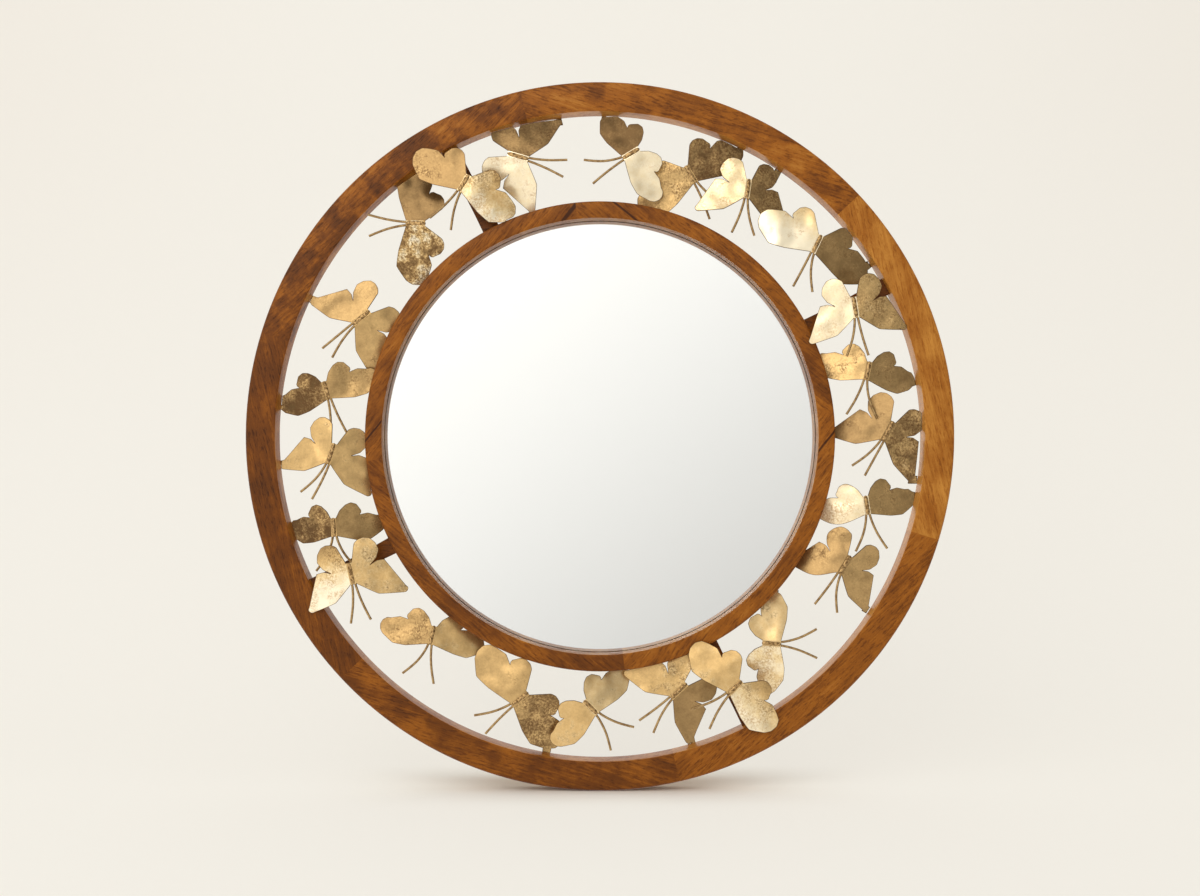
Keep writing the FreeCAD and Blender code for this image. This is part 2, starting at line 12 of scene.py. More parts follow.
import bmesh
import bpy
import numpy as np
from mathutils import Matrix, Vector, noise
from mathutils.geometry import delaunay_2d_cdt
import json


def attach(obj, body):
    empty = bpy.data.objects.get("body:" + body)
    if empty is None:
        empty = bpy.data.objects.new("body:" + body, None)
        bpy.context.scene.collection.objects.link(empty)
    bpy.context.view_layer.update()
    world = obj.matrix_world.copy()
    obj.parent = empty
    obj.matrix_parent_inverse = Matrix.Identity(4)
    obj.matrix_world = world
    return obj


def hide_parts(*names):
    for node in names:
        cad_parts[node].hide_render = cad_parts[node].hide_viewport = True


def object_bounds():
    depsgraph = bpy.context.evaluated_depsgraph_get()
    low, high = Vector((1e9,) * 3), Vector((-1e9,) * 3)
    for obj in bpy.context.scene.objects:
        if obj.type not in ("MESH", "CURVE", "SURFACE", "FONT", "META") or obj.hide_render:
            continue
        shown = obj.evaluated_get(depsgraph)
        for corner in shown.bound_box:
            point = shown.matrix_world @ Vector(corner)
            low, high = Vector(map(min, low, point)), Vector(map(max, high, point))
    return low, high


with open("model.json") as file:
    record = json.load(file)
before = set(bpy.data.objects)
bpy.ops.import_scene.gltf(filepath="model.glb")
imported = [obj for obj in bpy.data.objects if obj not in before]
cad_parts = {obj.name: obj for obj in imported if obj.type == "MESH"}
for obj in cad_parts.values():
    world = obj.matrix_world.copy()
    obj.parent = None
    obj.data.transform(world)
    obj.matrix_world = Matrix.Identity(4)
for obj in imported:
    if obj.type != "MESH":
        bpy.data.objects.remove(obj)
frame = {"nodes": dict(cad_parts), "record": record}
cad_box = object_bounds()
nodes = frame["nodes"]
scene = bpy.context.scene
MM = 0.001
print("frame:", len(nodes), "nodes,", [round(1000 * (b - a)) for a, b in zip(*cad_box)], "mm")


# %% [markdown]
# ## Measuring the frame
#
# A CAD node is a mesh of loose triangles. The helpers read its corner points, the smallest and largest
# distance of these from the mirror's axis, and its separate solids after equal points are merged. The
# node itself is never changed.

# %% Helpers that measure a node
SAME_POINT = 0.005 * MM


def corners(node):
    return np.array([v.co for v in nodes[node].data.vertices], dtype=float)


def radii(node):
    points = corners(node)
    away = np.hypot(points[:, 0], points[:, 2])
    return away.min(), away.max()


def merged(node):
    """A copy of a node's mesh with equal points merged, as a bmesh."""
    mesh = bmesh.new()
    mesh.from_mesh(nodes[node].data)
    bmesh.ops.remove_doubles(mesh, verts=mesh.verts, dist=SAME_POINT)
    return mesh


def solids(node):
    """The corner points of each separate solid in a node."""
    mesh = merged(node)
    left = dict.fromkeys(mesh.verts)
    found = []
    while left:
        group = [left.popitem()[0]]
        for vert in group:
            for near in [edge.other_vert(vert) for edge in vert.link_edges]:
                if near in left:
                    del left[near]
                    group.append(near)
        found.append(np.array([v.co for v in group], dtype=float))
    mesh.free()
    return found


OUTER_IN, OUTER_R = radii("outer_ring")
INNER_IN, INNER_OUT = radii("inner_ring")
RING_FRONT = corners("outer_ring")[:, 1].min()
RING_BACK = corners("outer_ring")[:, 1].max()
GLASS_R = radii("mirror_glass")[1]
GLASS_FRONT = corners("mirror_glass")[:, 1].min()
BOARD_R = radii("backing_board")[1]
BOARD_FRONT = corners("backing_board")[:, 1].min()
print(f"rings: {OUTER_IN:.4f} to {OUTER_R:.4f} and {INNER_IN:.4f} to {INNER_OUT:.4f}, glass {GLASS_R:.4f}")


# %% [markdown]
# ## Nodes written as sums
#
# A material is a sum of masks, and reads best when it is written as one. `Value` wraps a socket, and its
# operators add Math nodes. `Net` makes any other node: its settings come first, then the values or links
# of its sockets, and the last value names the socket that comes out. Shader trees and Geometry Nodes
# trees both use it.

# %% Value and Net
class Value:
    def __init__(self, net, socket):
        self.net = net
        self.socket = socket

    def math(self, operation, first, second):
        return self.net.make("ShaderNodeMath", {"operation": operation}, {0: first, 1: second})

    def __add__(self, other):
        return self.math("ADD", self, other)

    def __sub__(self, other):
        return self.math("SUBTRACT", self, other)

    def __rsub__(self, other):
        return self.math("SUBTRACT", other, self)

    def __mul__(self, other):
        return self.math("MULTIPLY", self, other)

    def __truediv__(self, other):
        return self.math("DIVIDE", self, other)

    __radd__ = __add__
    __rmul__ = __mul__

    def absolute(self):
        return self.math("ABSOLUTE", self, 0.0)

    def at_least(self, other):
        return self.math("MAXIMUM", self, other)

    def at_most(self, other):
        return self.math("MINIMUM", self, other)

    def between(self, low, high):
        """A soft step from 0 at low to 1 at high."""
        settings = {"interpolation_type": "SMOOTHSTEP"}
        return self.net.make("ShaderNodeMapRange", settings, {0: self, 1: low, 2: high})


class Net:
    def __init__(self, tree):
        self.tree = tree
        tree.nodes.clear()

    def make(self, kind, settings=None, values=None, output=0):
        node = self.tree.nodes.new(kind)
        for key, value in (settings or {}).items():
            if key == "stops":
                for i, (place, colour) in enumerate(value):
                    stop = node.color_ramp.elements[i] if i < 2 else node.color_ramp.elements.new(place)
                    stop.position = place
                    stop.color = colour
            else:
                setattr(node, key, value)
        for key, value in (values or {}).items():
            if isinstance(value, Value):
                self.tree.links.new(value.socket, node.inputs[key])
            else:
                node.inputs[key].default_value = value
        return Value(self, node.outputs[output]) if node.outputs else node

    def noise(self, vector, cells, detail=3.0, roughness=0.55):
        """Noise with so many cells per metre, one number for all axes or one for each."""
        cells = cells if isinstance(cells, tuple) else (cells, cells, cells)
        place = self.make("ShaderNodeVectorMath", {"operation": "MULTIPLY"}, {0: vector, 1: cells})
        values = {"Vector": place, "Scale": 1.0, "Detail": detail, "Roughness": roughness}
        return self.make("ShaderNodeTexNoise", None, values)

    def mix(self, factor, first, second):
        return self.make("ShaderNodeMix", {"data_type": "RGBA"}, {0: factor, 6: first, 7: second}, 2)

    def attribute(self, name, vector=False):
        output = "Vector" if vector else "Fac"
        return self.make("ShaderNodeAttribute", {"attribute_name": name}, None, output)

    def object_place(self):
        return self.make("ShaderNodeTexCoord", None, None, "Object")

    def parts(self, vector, *axes):
        """The X, Y and Z parts of a vector that are asked for by their numbers."""
        return [self.make("ShaderNodeSeparateXYZ", None, {0: vector}, axis) for axis in axes]

    def bump(self, height, distance, strength, values=None):
        """A normal bent by a height; one that is bent already can be among the values."""
        values = {"Strength": strength, "Distance": distance, "Height": height, **(values or {})}
        return self.make("ShaderNodeBump", None, values)


def colour(red, green, blue):
    """A colour from its display values, 0 to 255."""
    def linear(c):
        c /= 255
        return c / 12.92 if c <= 0.04045 else ((c + 0.055) / 1.055) ** 2.4
    return (linear(red), linear(green), linear(blue), 1.0)


def finish_material(name, build):
    """A material from a function that returns a shader, or the sockets of a Principled shader."""
    material = bpy.data.materials.new(name)
    material.use_nodes = True
    net = Net(material.node_tree)
    made = build(net)
    shader = made if isinstance(made, Value) else net.make("ShaderNodeBsdfPrincipled", None, made)
    net.make("ShaderNodeOutputMaterial", None, {"Surface": shader})
    return material


# %% [markdown]
# ## Oiled wood in glued segments
#
# Each ring is glued up from short boards, so the grain runs straight along a board and changes at each
# seam. A pattern on plain object coordinates would run through the seams. Instead each point of a ring
# carries its place within its own board, in the attribute `grain`: along, across and through the board.
# The colour is brown fibre streaks of several widths, a cloudy figure, pores, and dark heartwood
# streaks. The walls that face the mirror's axis, where the attribute `wall` is 1, are smooth, and a thin
# coat of wax gives them their pale sheen, together with a painted sheen: their colour is made lighter.

# %% Wood
BROWNS = [
    (0.16, colour(62, 31, 6)),
    (0.36, colour(108, 58, 10)),
    (0.50, colour(148, 86, 20)),
    (0.72, colour(192, 131, 54)),
]


def wood(net, place, tone, streak, strength, coat):
    """Sockets of an oiled brown wood; tone makes it lighter, strength is how far its figure shows."""
    broad = net.noise(place, (4.0, 48.0, 48.0), 4.0)
    fibre = net.noise(place, (16.0, 300.0, 300.0), 4.0, 0.68)
    figure = net.noise(place, (34.0, 30.0, 30.0), 4.0, 0.6).between(0.36, 0.64)
    speckle = net.noise(place, (520.0, 700.0, 700.0), 2.0)
    clouds = net.noise(place, (20.0, 50.0, 50.0), 3.0)
    flecks = net.noise(place, (110.0, 620.0, 620.0), 2.0).between(0.53, 0.66)
    shade = 0.26 * broad + 0.34 * fibre + 0.26 * clouds + 0.10 * speckle + tone - 0.05
    shade = shade + strength * (figure - 0.5) - 0.10 * flecks - 0.30 * streak
    return {
        "Base Color": net.make("ShaderNodeValToRGB", {"stops": BROWNS}, {"Fac": shade}),
        "Roughness": 0.50 - 0.16 * shade + 0.12 * flecks,
        "Normal": net.bump(0.6 * fibre - 0.5 * flecks, 0.4 * MM, 0.22),
        "Specular IOR Level": 0.14,
        "Coat Weight": coat,
        "Coat Roughness": 0.22,
    }


def ring_wood(net):
    place = net.attribute("grain", vector=True)
    wall = net.attribute("wall")
    wander = net.noise(place, (9.0, 20.0, 20.0)) - 0.5
    from_streak = (net.attribute("heart") + 0.004 * wander).absolute()
    streak = from_streak.between(2.4 * MM, 0.7 * MM) * (1.0 - wall)
    # Painted sheen: the walls that face the axis are painted lighter than the rest of the board.
    tone = net.attribute("tone") + 0.16 * wall
    return wood(net, place, tone, streak, net.attribute("figure"), 0.04 + 0.22 * wall)


def spoke_wood(net):
    return wood(net, net.object_place(), -0.13, 0.0, 0.06, 0.05)


RING_WOOD = finish_material("oiled_ring_wood", ring_wood)
SPOKE_WOOD = finish_material("oiled_spoke_wood", spoke_wood)


# %% [markdown]
# ## Turning the rings
#
# A ring is a profile turned about the Y axis, one board at a time. The CAD ring has the same profile
# with chamfered corners in few facets. Here the corners are rounded with a small curve each, and there
# are enough steps for a smooth rim. Most pieces on this mirror are such a chain of equal rows of points,
# closed at both ends, so one helper makes them all.

# %% Helpers for solids and meshes
RING_STEP = 1.5  # degrees
CORNER_STEPS = 5


def rounded(points):
    """A profile whose rows are radius, y and rounding, with a small curve at each corner."""
    result = []
    count = len(points)
    for i, (radius, y, rounding) in enumerate(points):
        corner = Vector((radius, y))
        if not rounding:
            result.append(corner)
            continue
        before = corner + (Vector(points[i - 1][:2]) - corner).normalized() * rounding
        after = corner + (Vector(points[(i + 1) % count][:2]) - corner).normalized() * rounding
        for k in range(CORNER_STEPS + 1):
            s = k / CORNER_STEPS
            result.append((1 - s) ** 2 * before + 2 * s * (1 - s) * corner + s ** 2 * after)
    return result


def at_clock(radius, clock, y):
    angle = math.radians(clock)
    return Vector((radius * math.sin(angle), y, radius * math.cos(angle)))


def shown(name, data):
    """A new object in the scene."""
    piece = bpy.data.objects.new(name, data)
    scene.collection.objects.link(piece)
    return piece


def mesh_object(name, mesh):
    """An object made from a bmesh, which is used up."""
    data = bpy.data.meshes.new(name)
    mesh.to_mesh(data)
    mesh.free()
    return shown(name, data)


def chain_of_rows(name, rows):
    """A closed solid: equal rows of points, each joined to the next, and the first and last filled."""
    mesh = bmesh.new()
    rings = [[mesh.verts.new(point) for point in row] for row in rows]
    count = len(rings[0])
    for low, high in zip(rings, rings[1:]):
        for i in range(count):
            j = (i + 1) % count
            mesh.faces.new((low[i], low[j], high[j], high[i]))
    mesh.faces.new(rings[0])
    mesh.faces.new(rings[-1][::-1])
    bmesh.ops.recalc_face_normals(mesh, faces=mesh.faces)
    return mesh_object(name, mesh)


def turned_board(name, profile, start, sweep):
    """One board: the profile turned from one clock angle on, with flat ends."""
    steps = max(1, round(sweep / RING_STEP))
    clocks = [start + sweep * k / steps for k in range(steps + 1)]
    return chain_of_rows(name, [[at_clock(p.x, clock, p.y) for p in profile] for clock in clocks])


def baked(piece):
    """A plain mesh object in the place of a piece with modifiers."""
    graph = bpy.context.evaluated_depsgraph_get()
    data = bpy.data.meshes.new_from_object(piece.evaluated_get(graph))
    made = shown(piece.name + "_made", data)
    bpy.data.objects.remove(piece)
    return made


def cut_away(piece, cutters):
    """What is left of a piece when the cutters are taken away from it; the cutters go too."""
    for cutter in cutters:
        cut = piece.modifiers.new("cut", "BOOLEAN")
        cut.object = cutter
        cut.operation = "DIFFERENCE"
        cut.solver = "EXACT"
    made = baked(piece)
    for cutter in cutters:
        bpy.data.objects.remove(cutter)
    return made


def joined(name, pieces):
    """One object from several, their meshes and attributes together."""
    with bpy.context.temp_override(active_object=pieces[0], selected_editable_objects=pieces):
        bpy.ops.object.join()
    pieces[0].name = name
    pieces[0].data.name = name
    return pieces[0]


def smooth(piece, angle=35):
    """Smooth shading, but for edges sharper than this."""
    piece.data.shade_smooth()
    piece.data.set_sharp_from_angle(angle=math.radians(angle))
    return piece


def set_values(piece, **attributes):
    """Gives the points of a piece their values of each attribute; a single number is for all of them."""
    for label, values in attributes.items():
        even = isinstance(values, (int, float))
        layer = piece.data.attributes.new(label, "FLOAT", "POINT")
        layer.data.foreach_set("value", [values] * len(piece.data.vertices) if even else values)


# %% [markdown]
# ## Keyholes
#
# The outer ring hangs by two keyholes routed into its back: a round entry for the screw's head, and a
# slot that rises from it, narrow at the surface and as wide as the head below. A router makes each cut
# with one tool, so each is one stadium-shaped prism here, taken away from the board with a Boolean
# modifier.

# %% Keyhole cutters
KEYHOLES = [m for m in frame["record"]["mounts"] if m["name"] == "hanging_keyholes"][0]
ENTRY_R = KEYHOLES["dims"]["hole_r_mm"] * MM
MOUTH_R = 2.6 * MM
SLOT_RISE = 11 * MM
LIP = 3.5 * MM
KEYHOLE_DEPTH = 10 * MM
OVERRUN = 2 * MM
ARC_STEPS = 16


def stadium(radius, rise, x, z, y_low, y_high):
    """A cutter whose outline is two half circles, one above the other, joined by straight sides."""
    rows = [[], []]
    for k in range(2 * ARC_STEPS):
        angle = math.pi * k / ARC_STEPS
        lift = rise if k < ARC_STEPS else 0
        for row, y in zip(rows, (y_low, y_high)):
            row.append((x + radius * math.cos(angle), y, z + lift + radius * math.sin(angle)))
    return chain_of_rows("cutter", rows)


def with_keyhole(board, x, z):
    back = RING_BACK + OVERRUN
    deep = RING_BACK - KEYHOLE_DEPTH
    return cut_away(board, [
        stadium(ENTRY_R, 0.0, x, z, deep, back),
        stadium(MOUTH_R, SLOT_RISE, x, z, deep + LIP, back),
        stadium(ENTRY_R, SLOT_RISE, x, z, deep, RING_BACK - LIP),
    ])


# %% [markdown]
# ## The two rings
#
# Every board gets its own tone, its own figure and its own place in the pattern, so that no two look cut
# from one plank. On the outer ring the tone is partly painted light too: lighter at the upper right and
# darker at the lower left. A dark heartwood streak runs straight along its board, so it crosses the
# curved ring at a slant. Each point carries its distance from the nearest streak in the attribute
# `heart`. The outer ring is kept out of reflections, because its dark wall would show in the wing tips
# beside it.

# %% Make the rings
NO_STREAK = 9.0
BOARD_SHIFT = Vector((1.7, 0.0, 0.31))
WALL_ROOM = 0.3 * MM


def board_axes(middle):
    """The directions along and across a board whose middle is at this clock angle."""
    angle = math.radians(middle)
    return Vector((math.cos(angle), 0, -math.sin(angle))), Vector((math.sin(angle), 0, math.cos(angle)))


def streak_distance(point, axes, streaks):
    """The distance from the nearest streak in units of its width; a streak is a clock angle and a width."""
    along, across = axes
    nearest = NO_STREAK
    for clock, width in streaks:
        crossing = at_clock((INNER_IN + INNER_OUT) / 2, clock, 0)
        if (crossing @ along) * (point @ along) < 0:
            continue
        distance = (point - crossing) @ across / width
        if abs(distance) < abs(nearest):
            nearest = distance
    return nearest


def finished_board(board, middle, shift, wall_radius, finish):
    """Gives a board its place in the grain, its tone, its figure, its streaks and its smooth wall."""
    tone, figure, streaks = finish
    axes = board_axes(middle)
    points = [v.co for v in board.data.vertices]
    grain = board.data.attributes.new("grain", "FLOAT_VECTOR", "POINT")
    places = [Vector((p @ axes[0], p @ axes[1], p.y)) + shift for p in points]
    grain.data.foreach_set("vector", [c for place in places for c in place])
    wall = [1.0 if math.hypot(p.x, p.z) < wall_radius + WALL_ROOM else 0.0 for p in points]
    heart = [streak_distance(p, axes, streaks) for p in points]
    set_values(board, tone=tone, figure=figure, wall=wall, heart=heart)
    return board


def glued_ring(name, profile, first_seam, boards, keyholes=()):
    """A ring of equal boards; each row is its tone, the strength of its figure and its streaks."""
    sweep = 360 / len(boards)
    wall_radius = min(p.x for p in profile)
    pieces = []
    for i, finish in enumerate(boards):
        start = first_seam + i * sweep
        board = turned_board(name, profile, start, sweep)
        for x, z in keyholes:
            if (math.degrees(math.atan2(x, z)) - start) % 360 < sweep:
                board = with_keyhole(board, x, z)
        pieces.append(finished_board(board, start + sweep / 2, i * BOARD_SHIFT, wall_radius, finish))
    ring = smooth(joined(name, pieces))
    ring.data.materials.clear()
    ring.data.materials.append(RING_WOOD)
    print(name, "boards", len(boards), "faces", len(ring.data.polygons))
    return ring


OUTER_FIRST_SEAM = 47
INNER_FIRST_SEAM = 84
SOFT_CORNER = 5.0 * MM
INNER_SOFT_CORNER = 3.5 * MM
CRISP_CORNER = 1.2 * MM
PLAY = 0.5 * MM
outer_profile = rounded([
    (OUTER_IN, RING_BACK, CRISP_CORNER),
    (OUTER_IN, RING_FRONT, CRISP_CORNER),
    (OUTER_R, RING_FRONT, SOFT_CORNER),
    (OUTER_R, RING_BACK, CRISP_CORNER),
])
inner_profile = rounded([
    (INNER_IN, GLASS_FRONT, 0),
    (INNER_IN, RING_FRONT, CRISP_CORNER),
    (INNER_OUT, RING_FRONT, INNER_SOFT_CORNER),
    (INNER_OUT, RING_BACK, CRISP_CORNER),
    (BOARD_R + PLAY, RING_BACK, 0),
    (BOARD_R + PLAY, BOARD_FRONT, 0),
    (GLASS_R + PLAY, BOARD_FRONT, 0),
    (GLASS_R + PLAY, GLASS_FRONT, 0),
])
# The tone of these boards is partly painted light: lighter at the upper right, darker at the lower left.
outer_boards = [
    (0.17, 0.07, []),
    (0.04, 0.06, []),
    (-0.04, 0.10, []),
    (-0.08, 0.08, []),
    (-0.05, 0.20, []),
    (0.03, 0.12, []),
]
inner_boards = [
    (0.05, 0.08, [(91, 0.7)]),
    (-0.03, 0.08, []),
    (0.00, 0.06, [(271.3, 0.55), (352.5, 1.2)]),
    (0.00, 0.08, [(6.1, 0.7)]),
]
half_spacing = KEYHOLES["dims"]["spacing_x_mm"] * MM / 2
keyholes = [(side * half_spacing, KEYHOLES["pos_m"][2]) for side in (-1, 1)]
outer_ring = glued_ring("outer_ring_wood", outer_profile, OUTER_FIRST_SEAM, outer_boards, keyholes)
outer_ring.visible_glossy = False
inner_ring = glued_ring("inner_ring_wood", inner_profile, INNER_FIRST_SEAM, inner_boards)


# %% [markdown]
# ## Gilded sheet metal
#
# The wings are sheet metal under gold leaf, aged by hand. Bare leaf is a smooth metal with a warm
# colour, and where it has worn or was toned, dark brown shows in grains and blotches. Three attributes
# steer it: `rim` is the distance from the cut edge, which stays dark, `tone` is how pale the leaf is, and
# `wear` how aged. The tone is partly painted light and shade: its colour ramp runs from a shaded brown to
# a near-white painted highlight. The oldest halves are crumpled too, in their bump and in painted
# highlights and shade over the crumples.

# %% Metals
UMBER = colour(98, 66, 34)
TAN = colour(190, 150, 96)
DARK_EDGE = colour(92, 64, 36)
# Gold leaf from painted shade to painted highlight: the brown end stands for shaded halves, the near-white
# end for highlights.
LEAF_SHADED_TO_HIGHLIGHT = [
    (0.02, colour(98, 74, 44)),
    (0.32, colour(164, 132, 86)),
    (0.54, colour(214, 177, 118)),
    (0.76, colour(240, 214, 164)),
    (1.00, colour(255, 241, 210)),
]


def gold_leaf(net):
    place = net.object_place()
    rim = net.attribute("rim")
    tone = net.attribute("tone")
    wear = net.attribute("wear")
    swell = net.noise(place, 30.0, 1.0)
    cloud = net.noise(place, 45.0, 3.0)
    crumple = net.noise(place, 62.0, 5.0, 0.62)
    blotch = net.noise(place, 140.0, 4.0, 0.62)
    grain = net.noise(place, 460.0, 5.0, 0.8)
    grains = grain.between(0.38, 0.62)
    patches = (0.55 * cloud + 0.45 * blotch + 0.22 * wear).between(0.54, 0.72)
    worn = patches * grains
    old = wear * wear
    # Painted light and shade: the half's tone sets how lit its base colour looks.
    shade = 0.5 + 0.42 * tone + 0.26 * (blotch - 0.5) + 0.26 * (cloud - 0.5)
    # Painted highlights and shade over the crumples of the oldest halves, on top of their bump.
    shade = shade + 0.72 * old * old * (crumple.between(0.37, 0.63) - 0.5)
    shade = shade + (0.05 + 0.13 * old) * (0.5 - grains)
    leaf = net.make("ShaderNodeValToRGB", {"stops": LEAF_SHADED_TO_HIGHLIGHT}, {"Fac": shade})
    # The worn spots follow the tone too: browner on the halves with painted shade.
    spots = net.mix(tone.between(0.2, 0.7), UMBER, TAN)
    toned = net.mix(worn * 0.8, leaf, spots)
    beaten = net.bump(swell, 6.0 * MM, 1.0)
    height = 0.4 * blotch + 9.0 * old * crumple + 0.12 * grain
    return {
        "Base Color": net.mix(rim.between(0.7 * MM, 0.15 * MM), toned, DARK_EDGE),
        "Metallic": 0.86 - 0.1 * worn,
        "Roughness": 0.27 + 0.12 * blotch + 0.20 * worn,
        "Normal": net.bump(height, 0.4 * MM, 0.5, {"Normal": beaten}),
    }


def braze(net):
    lumps = net.noise(net.object_place(), 420.0)
    tone = net.mix(lumps.between(0.38, 0.62), colour(116, 88, 54), colour(196, 160, 108))
    bump = net.bump(lumps, 0.6 * MM, 0.6)
    return {"Base Color": tone, "Metallic": 0.9, "Roughness": 0.36 + 0.2 * lumps, "Normal": bump}


def wire_metal(net):
    groove = net.attribute("groove")
    stain = net.noise(net.object_place(), 260.0).between(0.35, 0.7)
    bare = net.mix(stain, colour(206, 172, 118), colour(156, 122, 80))
    # Painted shade: the thread's grooves are darker in colour.
    tone = net.mix(groove * 0.7, bare, colour(84, 60, 38))
    return {"Base Color": tone, "Metallic": 0.95, "Roughness": 0.34 + 0.25 * groove}


GOLD_LEAF = finish_material("gold_leaf_on_sheet", gold_leaf)
BRAZE = finish_material("toned_braze", braze)
WIRE = finish_material("threaded_wire", wire_metal)


# %% [markdown]
# ## Reading a folded sheet
#
# A butterfly is one sheet with two folds, so its CAD node has three flat fronts: two halves and the
# spine between them. Its triangles are sorted into planes, the two largest planes that face the front
# are the halves, and the plane between them is the spine. The outline of a half is then a chain of edges
# that only one of its triangles uses.

# %% Planes and outlines of a node
FRONT = Vector((0, -1, 0))
SAME_PLANE = 0.05 * MM
SAME_TURN = math.cos(math.radians(1.5))
TOWARDS_FRONT = 0.3


def front_planes(mesh):
    """Groups the faces that look to the front by plane, the largest group first."""
    groups = []
    for face in sorted(mesh.faces, key=lambda f: -f.calc_area()):
        if face.normal @ FRONT < TOWARDS_FRONT:
            continue
        for group in groups:
            first = group[0]
            level = (face.calc_center_median() - first.calc_center_median()) @ first.normal
            if first.normal @ face.normal > SAME_TURN and abs(level) < SAME_PLANE:
                group.append(face)
                break
        else:
            groups.append([face])
    return sorted(groups, key=lambda g: -sum(f.calc_area() for f in g))


def outlines(group):
    """The closed chains of points round a group of faces, the longest first."""
    inside = set(group)
    follows = {}
    for face in group:
        for loop in face.loops:
            if sum(f in inside for f in loop.edge.link_faces) == 1:
                follows[loop.vert] = loop.link_loop_next.vert
    chains = []
    while follows:
        start, point = follows.popitem()
        chain = [start]
        while point in follows:
            chain.append(point)
            point = follows.pop(point)
        chains.append([v.co.copy() for v in chain])
    return sorted(chains, key=lambda c: -sum((a - b).length for a, b in zip(c, c[1:])))


# %% [markdown]
# ## From snipped corners to cut curves
#
# The CAD outline is snipped in straight lines to keep it light. The real one is a smooth curve with a
# few true corners: the notch between the two wings of a half, and the shoulders of a swallowtail. So a
# chain is broken where it turns sharply, and the stretches between are filled in with a curve through
# all their points. It swings freely on rounded wings. Swallowtails are cut straighter, so theirs is
# tighter. The rear edge is bowed.

# %% Smooth an outline
CORNER_TURN = math.radians(46)
ROUND_TIP = 6.0 * MM
POINT_STEP = 1.1 * MM
SWALLOWTAIL_POINTS = 18
TIGHTNESS = 0.7
BOW = 4.4 * MM


def curve_point(a, b, c, d, s, slack):
    """A point of the curve from b to c; with slack 1 it swings freely, and with 0 it is a straight line."""
    start = slack * (c - a) / 2
    end = slack * (d - b) / 2
    rise = s * s * (3 - 2 * s)
    return (1 - rise) * b + rise * c + s * (1 - s) ** 2 * start - s * s * (1 - s) * end


def bowed(path):
    """The path with its rear edge, from the farthest point to the head, pushed outwards."""
    far = max(range(len(path)), key=lambda i: path[i].y)
    start, end = path[far], path[-1]
    chord = end - start
    outwards = Vector((-chord.y, chord.x)).normalized()
    if outwards.x < 0:
        outwards = -outwards
    result = list(path)
    for i in range(far + 1, len(path) - 1):
        s = (path[i] - start) @ chord / chord.length_squared
        result[i] = path[i] + outwards * BOW * (4 * s * (1 - s)) ** 2
    return result


def smooth_stretch(points, slack):
    """The curve through a stretch of points, its ends kept."""
    if len(points) < 3:
        count = max(1, round((points[1] - points[0]).length / POINT_STEP))
        return [points[0].lerp(points[1], k / count) for k in range(count)]
    padded = [2 * points[0] - points[1]] + points + [2 * points[-1] - points[-2]]
    result = []
    for a, b, c, d in zip(padded, padded[1:], padded[2:], padded[3:]):
        count = max(1, round((c - b).length / POINT_STEP))
        result += [curve_point(a, b, c, d, k / count, slack) for k in range(count)]
    return result


def smooth_outline(path):
    """An open path from one end of the fold to the other, smooth between its true corners."""
    swallowtail = len(path) >= SWALLOWTAIL_POINTS
    path = bowed(path)
    area = sum(a.x * b.y - b.x * a.y for a, b in zip(path, path[1:] + path[:1]))
    breaks = [0]
    for i, (previous, point, following) in enumerate(zip(path, path[1:], path[2:]), start=1):
        before = point - previous
        after = following - point
        hollow = (before.x * after.y - before.y * after.x) * area < 0
        apart = min(before.length, after.length) > ROUND_TIP
        if before.angle(after) > CORNER_TURN and (hollow or apart):
            breaks.append(i)
    breaks.append(len(path) - 1)
    result = []
    for low, high in zip(breaks, breaks[1:]):
        result += smooth_stretch(path[low:high + 1], 1 - TIGHTNESS if swallowtail else 1)
    result.append(path[-1])
    return result


# %% [markdown]
# ## Beaten, not flat
#
# Hand-worked sheet is never flat. Each half bellies a little and ripples, which breaks up its
# reflections. The half is filled with a fine net of points, lifted by that shape, and given its
# thickness. Each point keeps its distance from the cut edge in the attribute `rim`, the wear of its half
# in `wear`, and in `tone` the pale or brown of its leaf together with painted light and shade.

# %% One half of a butterfly
SHEET = 1.0 * MM
NET_STEP = 2.6 * MM
ROW_STEP = 0.87 * NET_STEP
RIM_ROOM = 0.6 * NET_STEP
BELLY = 0.9 * MM
RIPPLE = 0.35 * MM
RIPPLE_CELL = 22 * MM
FLAT_SHARE = 0.2
KEEP_INSIDE = 1
SAME_PLACE = 1e-7


def inside(point, path):
    """Whether a point lies in a closed path, by counting crossings."""
    hit = False
    for a, b in zip(path, path[1:] + path[:1]):
        if (a.y > point.y) != (b.y > point.y):
            if point.x < a.x + (point.y - a.y) * (b.x - a.x) / (b.y - a.y):
                hit = not hit
    return hit


def rim_distances(points, path):
    """The distance of each point from the nearest piece of a path."""
    a = np.array(path[:-1])
    step = np.array(path[1:]) - a
    p = np.array(points)[:, None, :]
    share = np.clip(((p - a) * step).sum(2) / (step ** 2).sum(1), 0, 1)
    return np.sqrt((((a + share[..., None] * step) - p) ** 2).sum(2)).min(1)


def net_inside(path):
    """Points on staggered rows inside a path, none of them close to it."""
    left, right = min(p.x for p in path), max(p.x for p in path)
    reach = max(p.y for p in path)
    points = []
    row = 0
    y = NET_STEP
    while y < reach:
        x = left + (row % 2) * NET_STEP / 2
        while x < right:
            points.append(Vector((x, y)))
            x += NET_STEP
        y += ROW_STEP
        row += 1
    points = [p for p in points if inside(p, path)]
    return [p for p, room in zip(points, rim_distances(points, path)) if room > RIM_ROOM]


def beaten_height(point, reach, seed):
    """How far a point of a half is lifted out of its plane."""
    belly = BELLY * math.sin(math.pi * min(max(point.y / reach, 0), 1))
    wave = noise.noise(Vector((point.x / RIPPLE_CELL, point.y / RIPPLE_CELL, seed)))
    return belly + RIPPLE * wave * min(1, point.y / (FLAT_SHARE * reach))


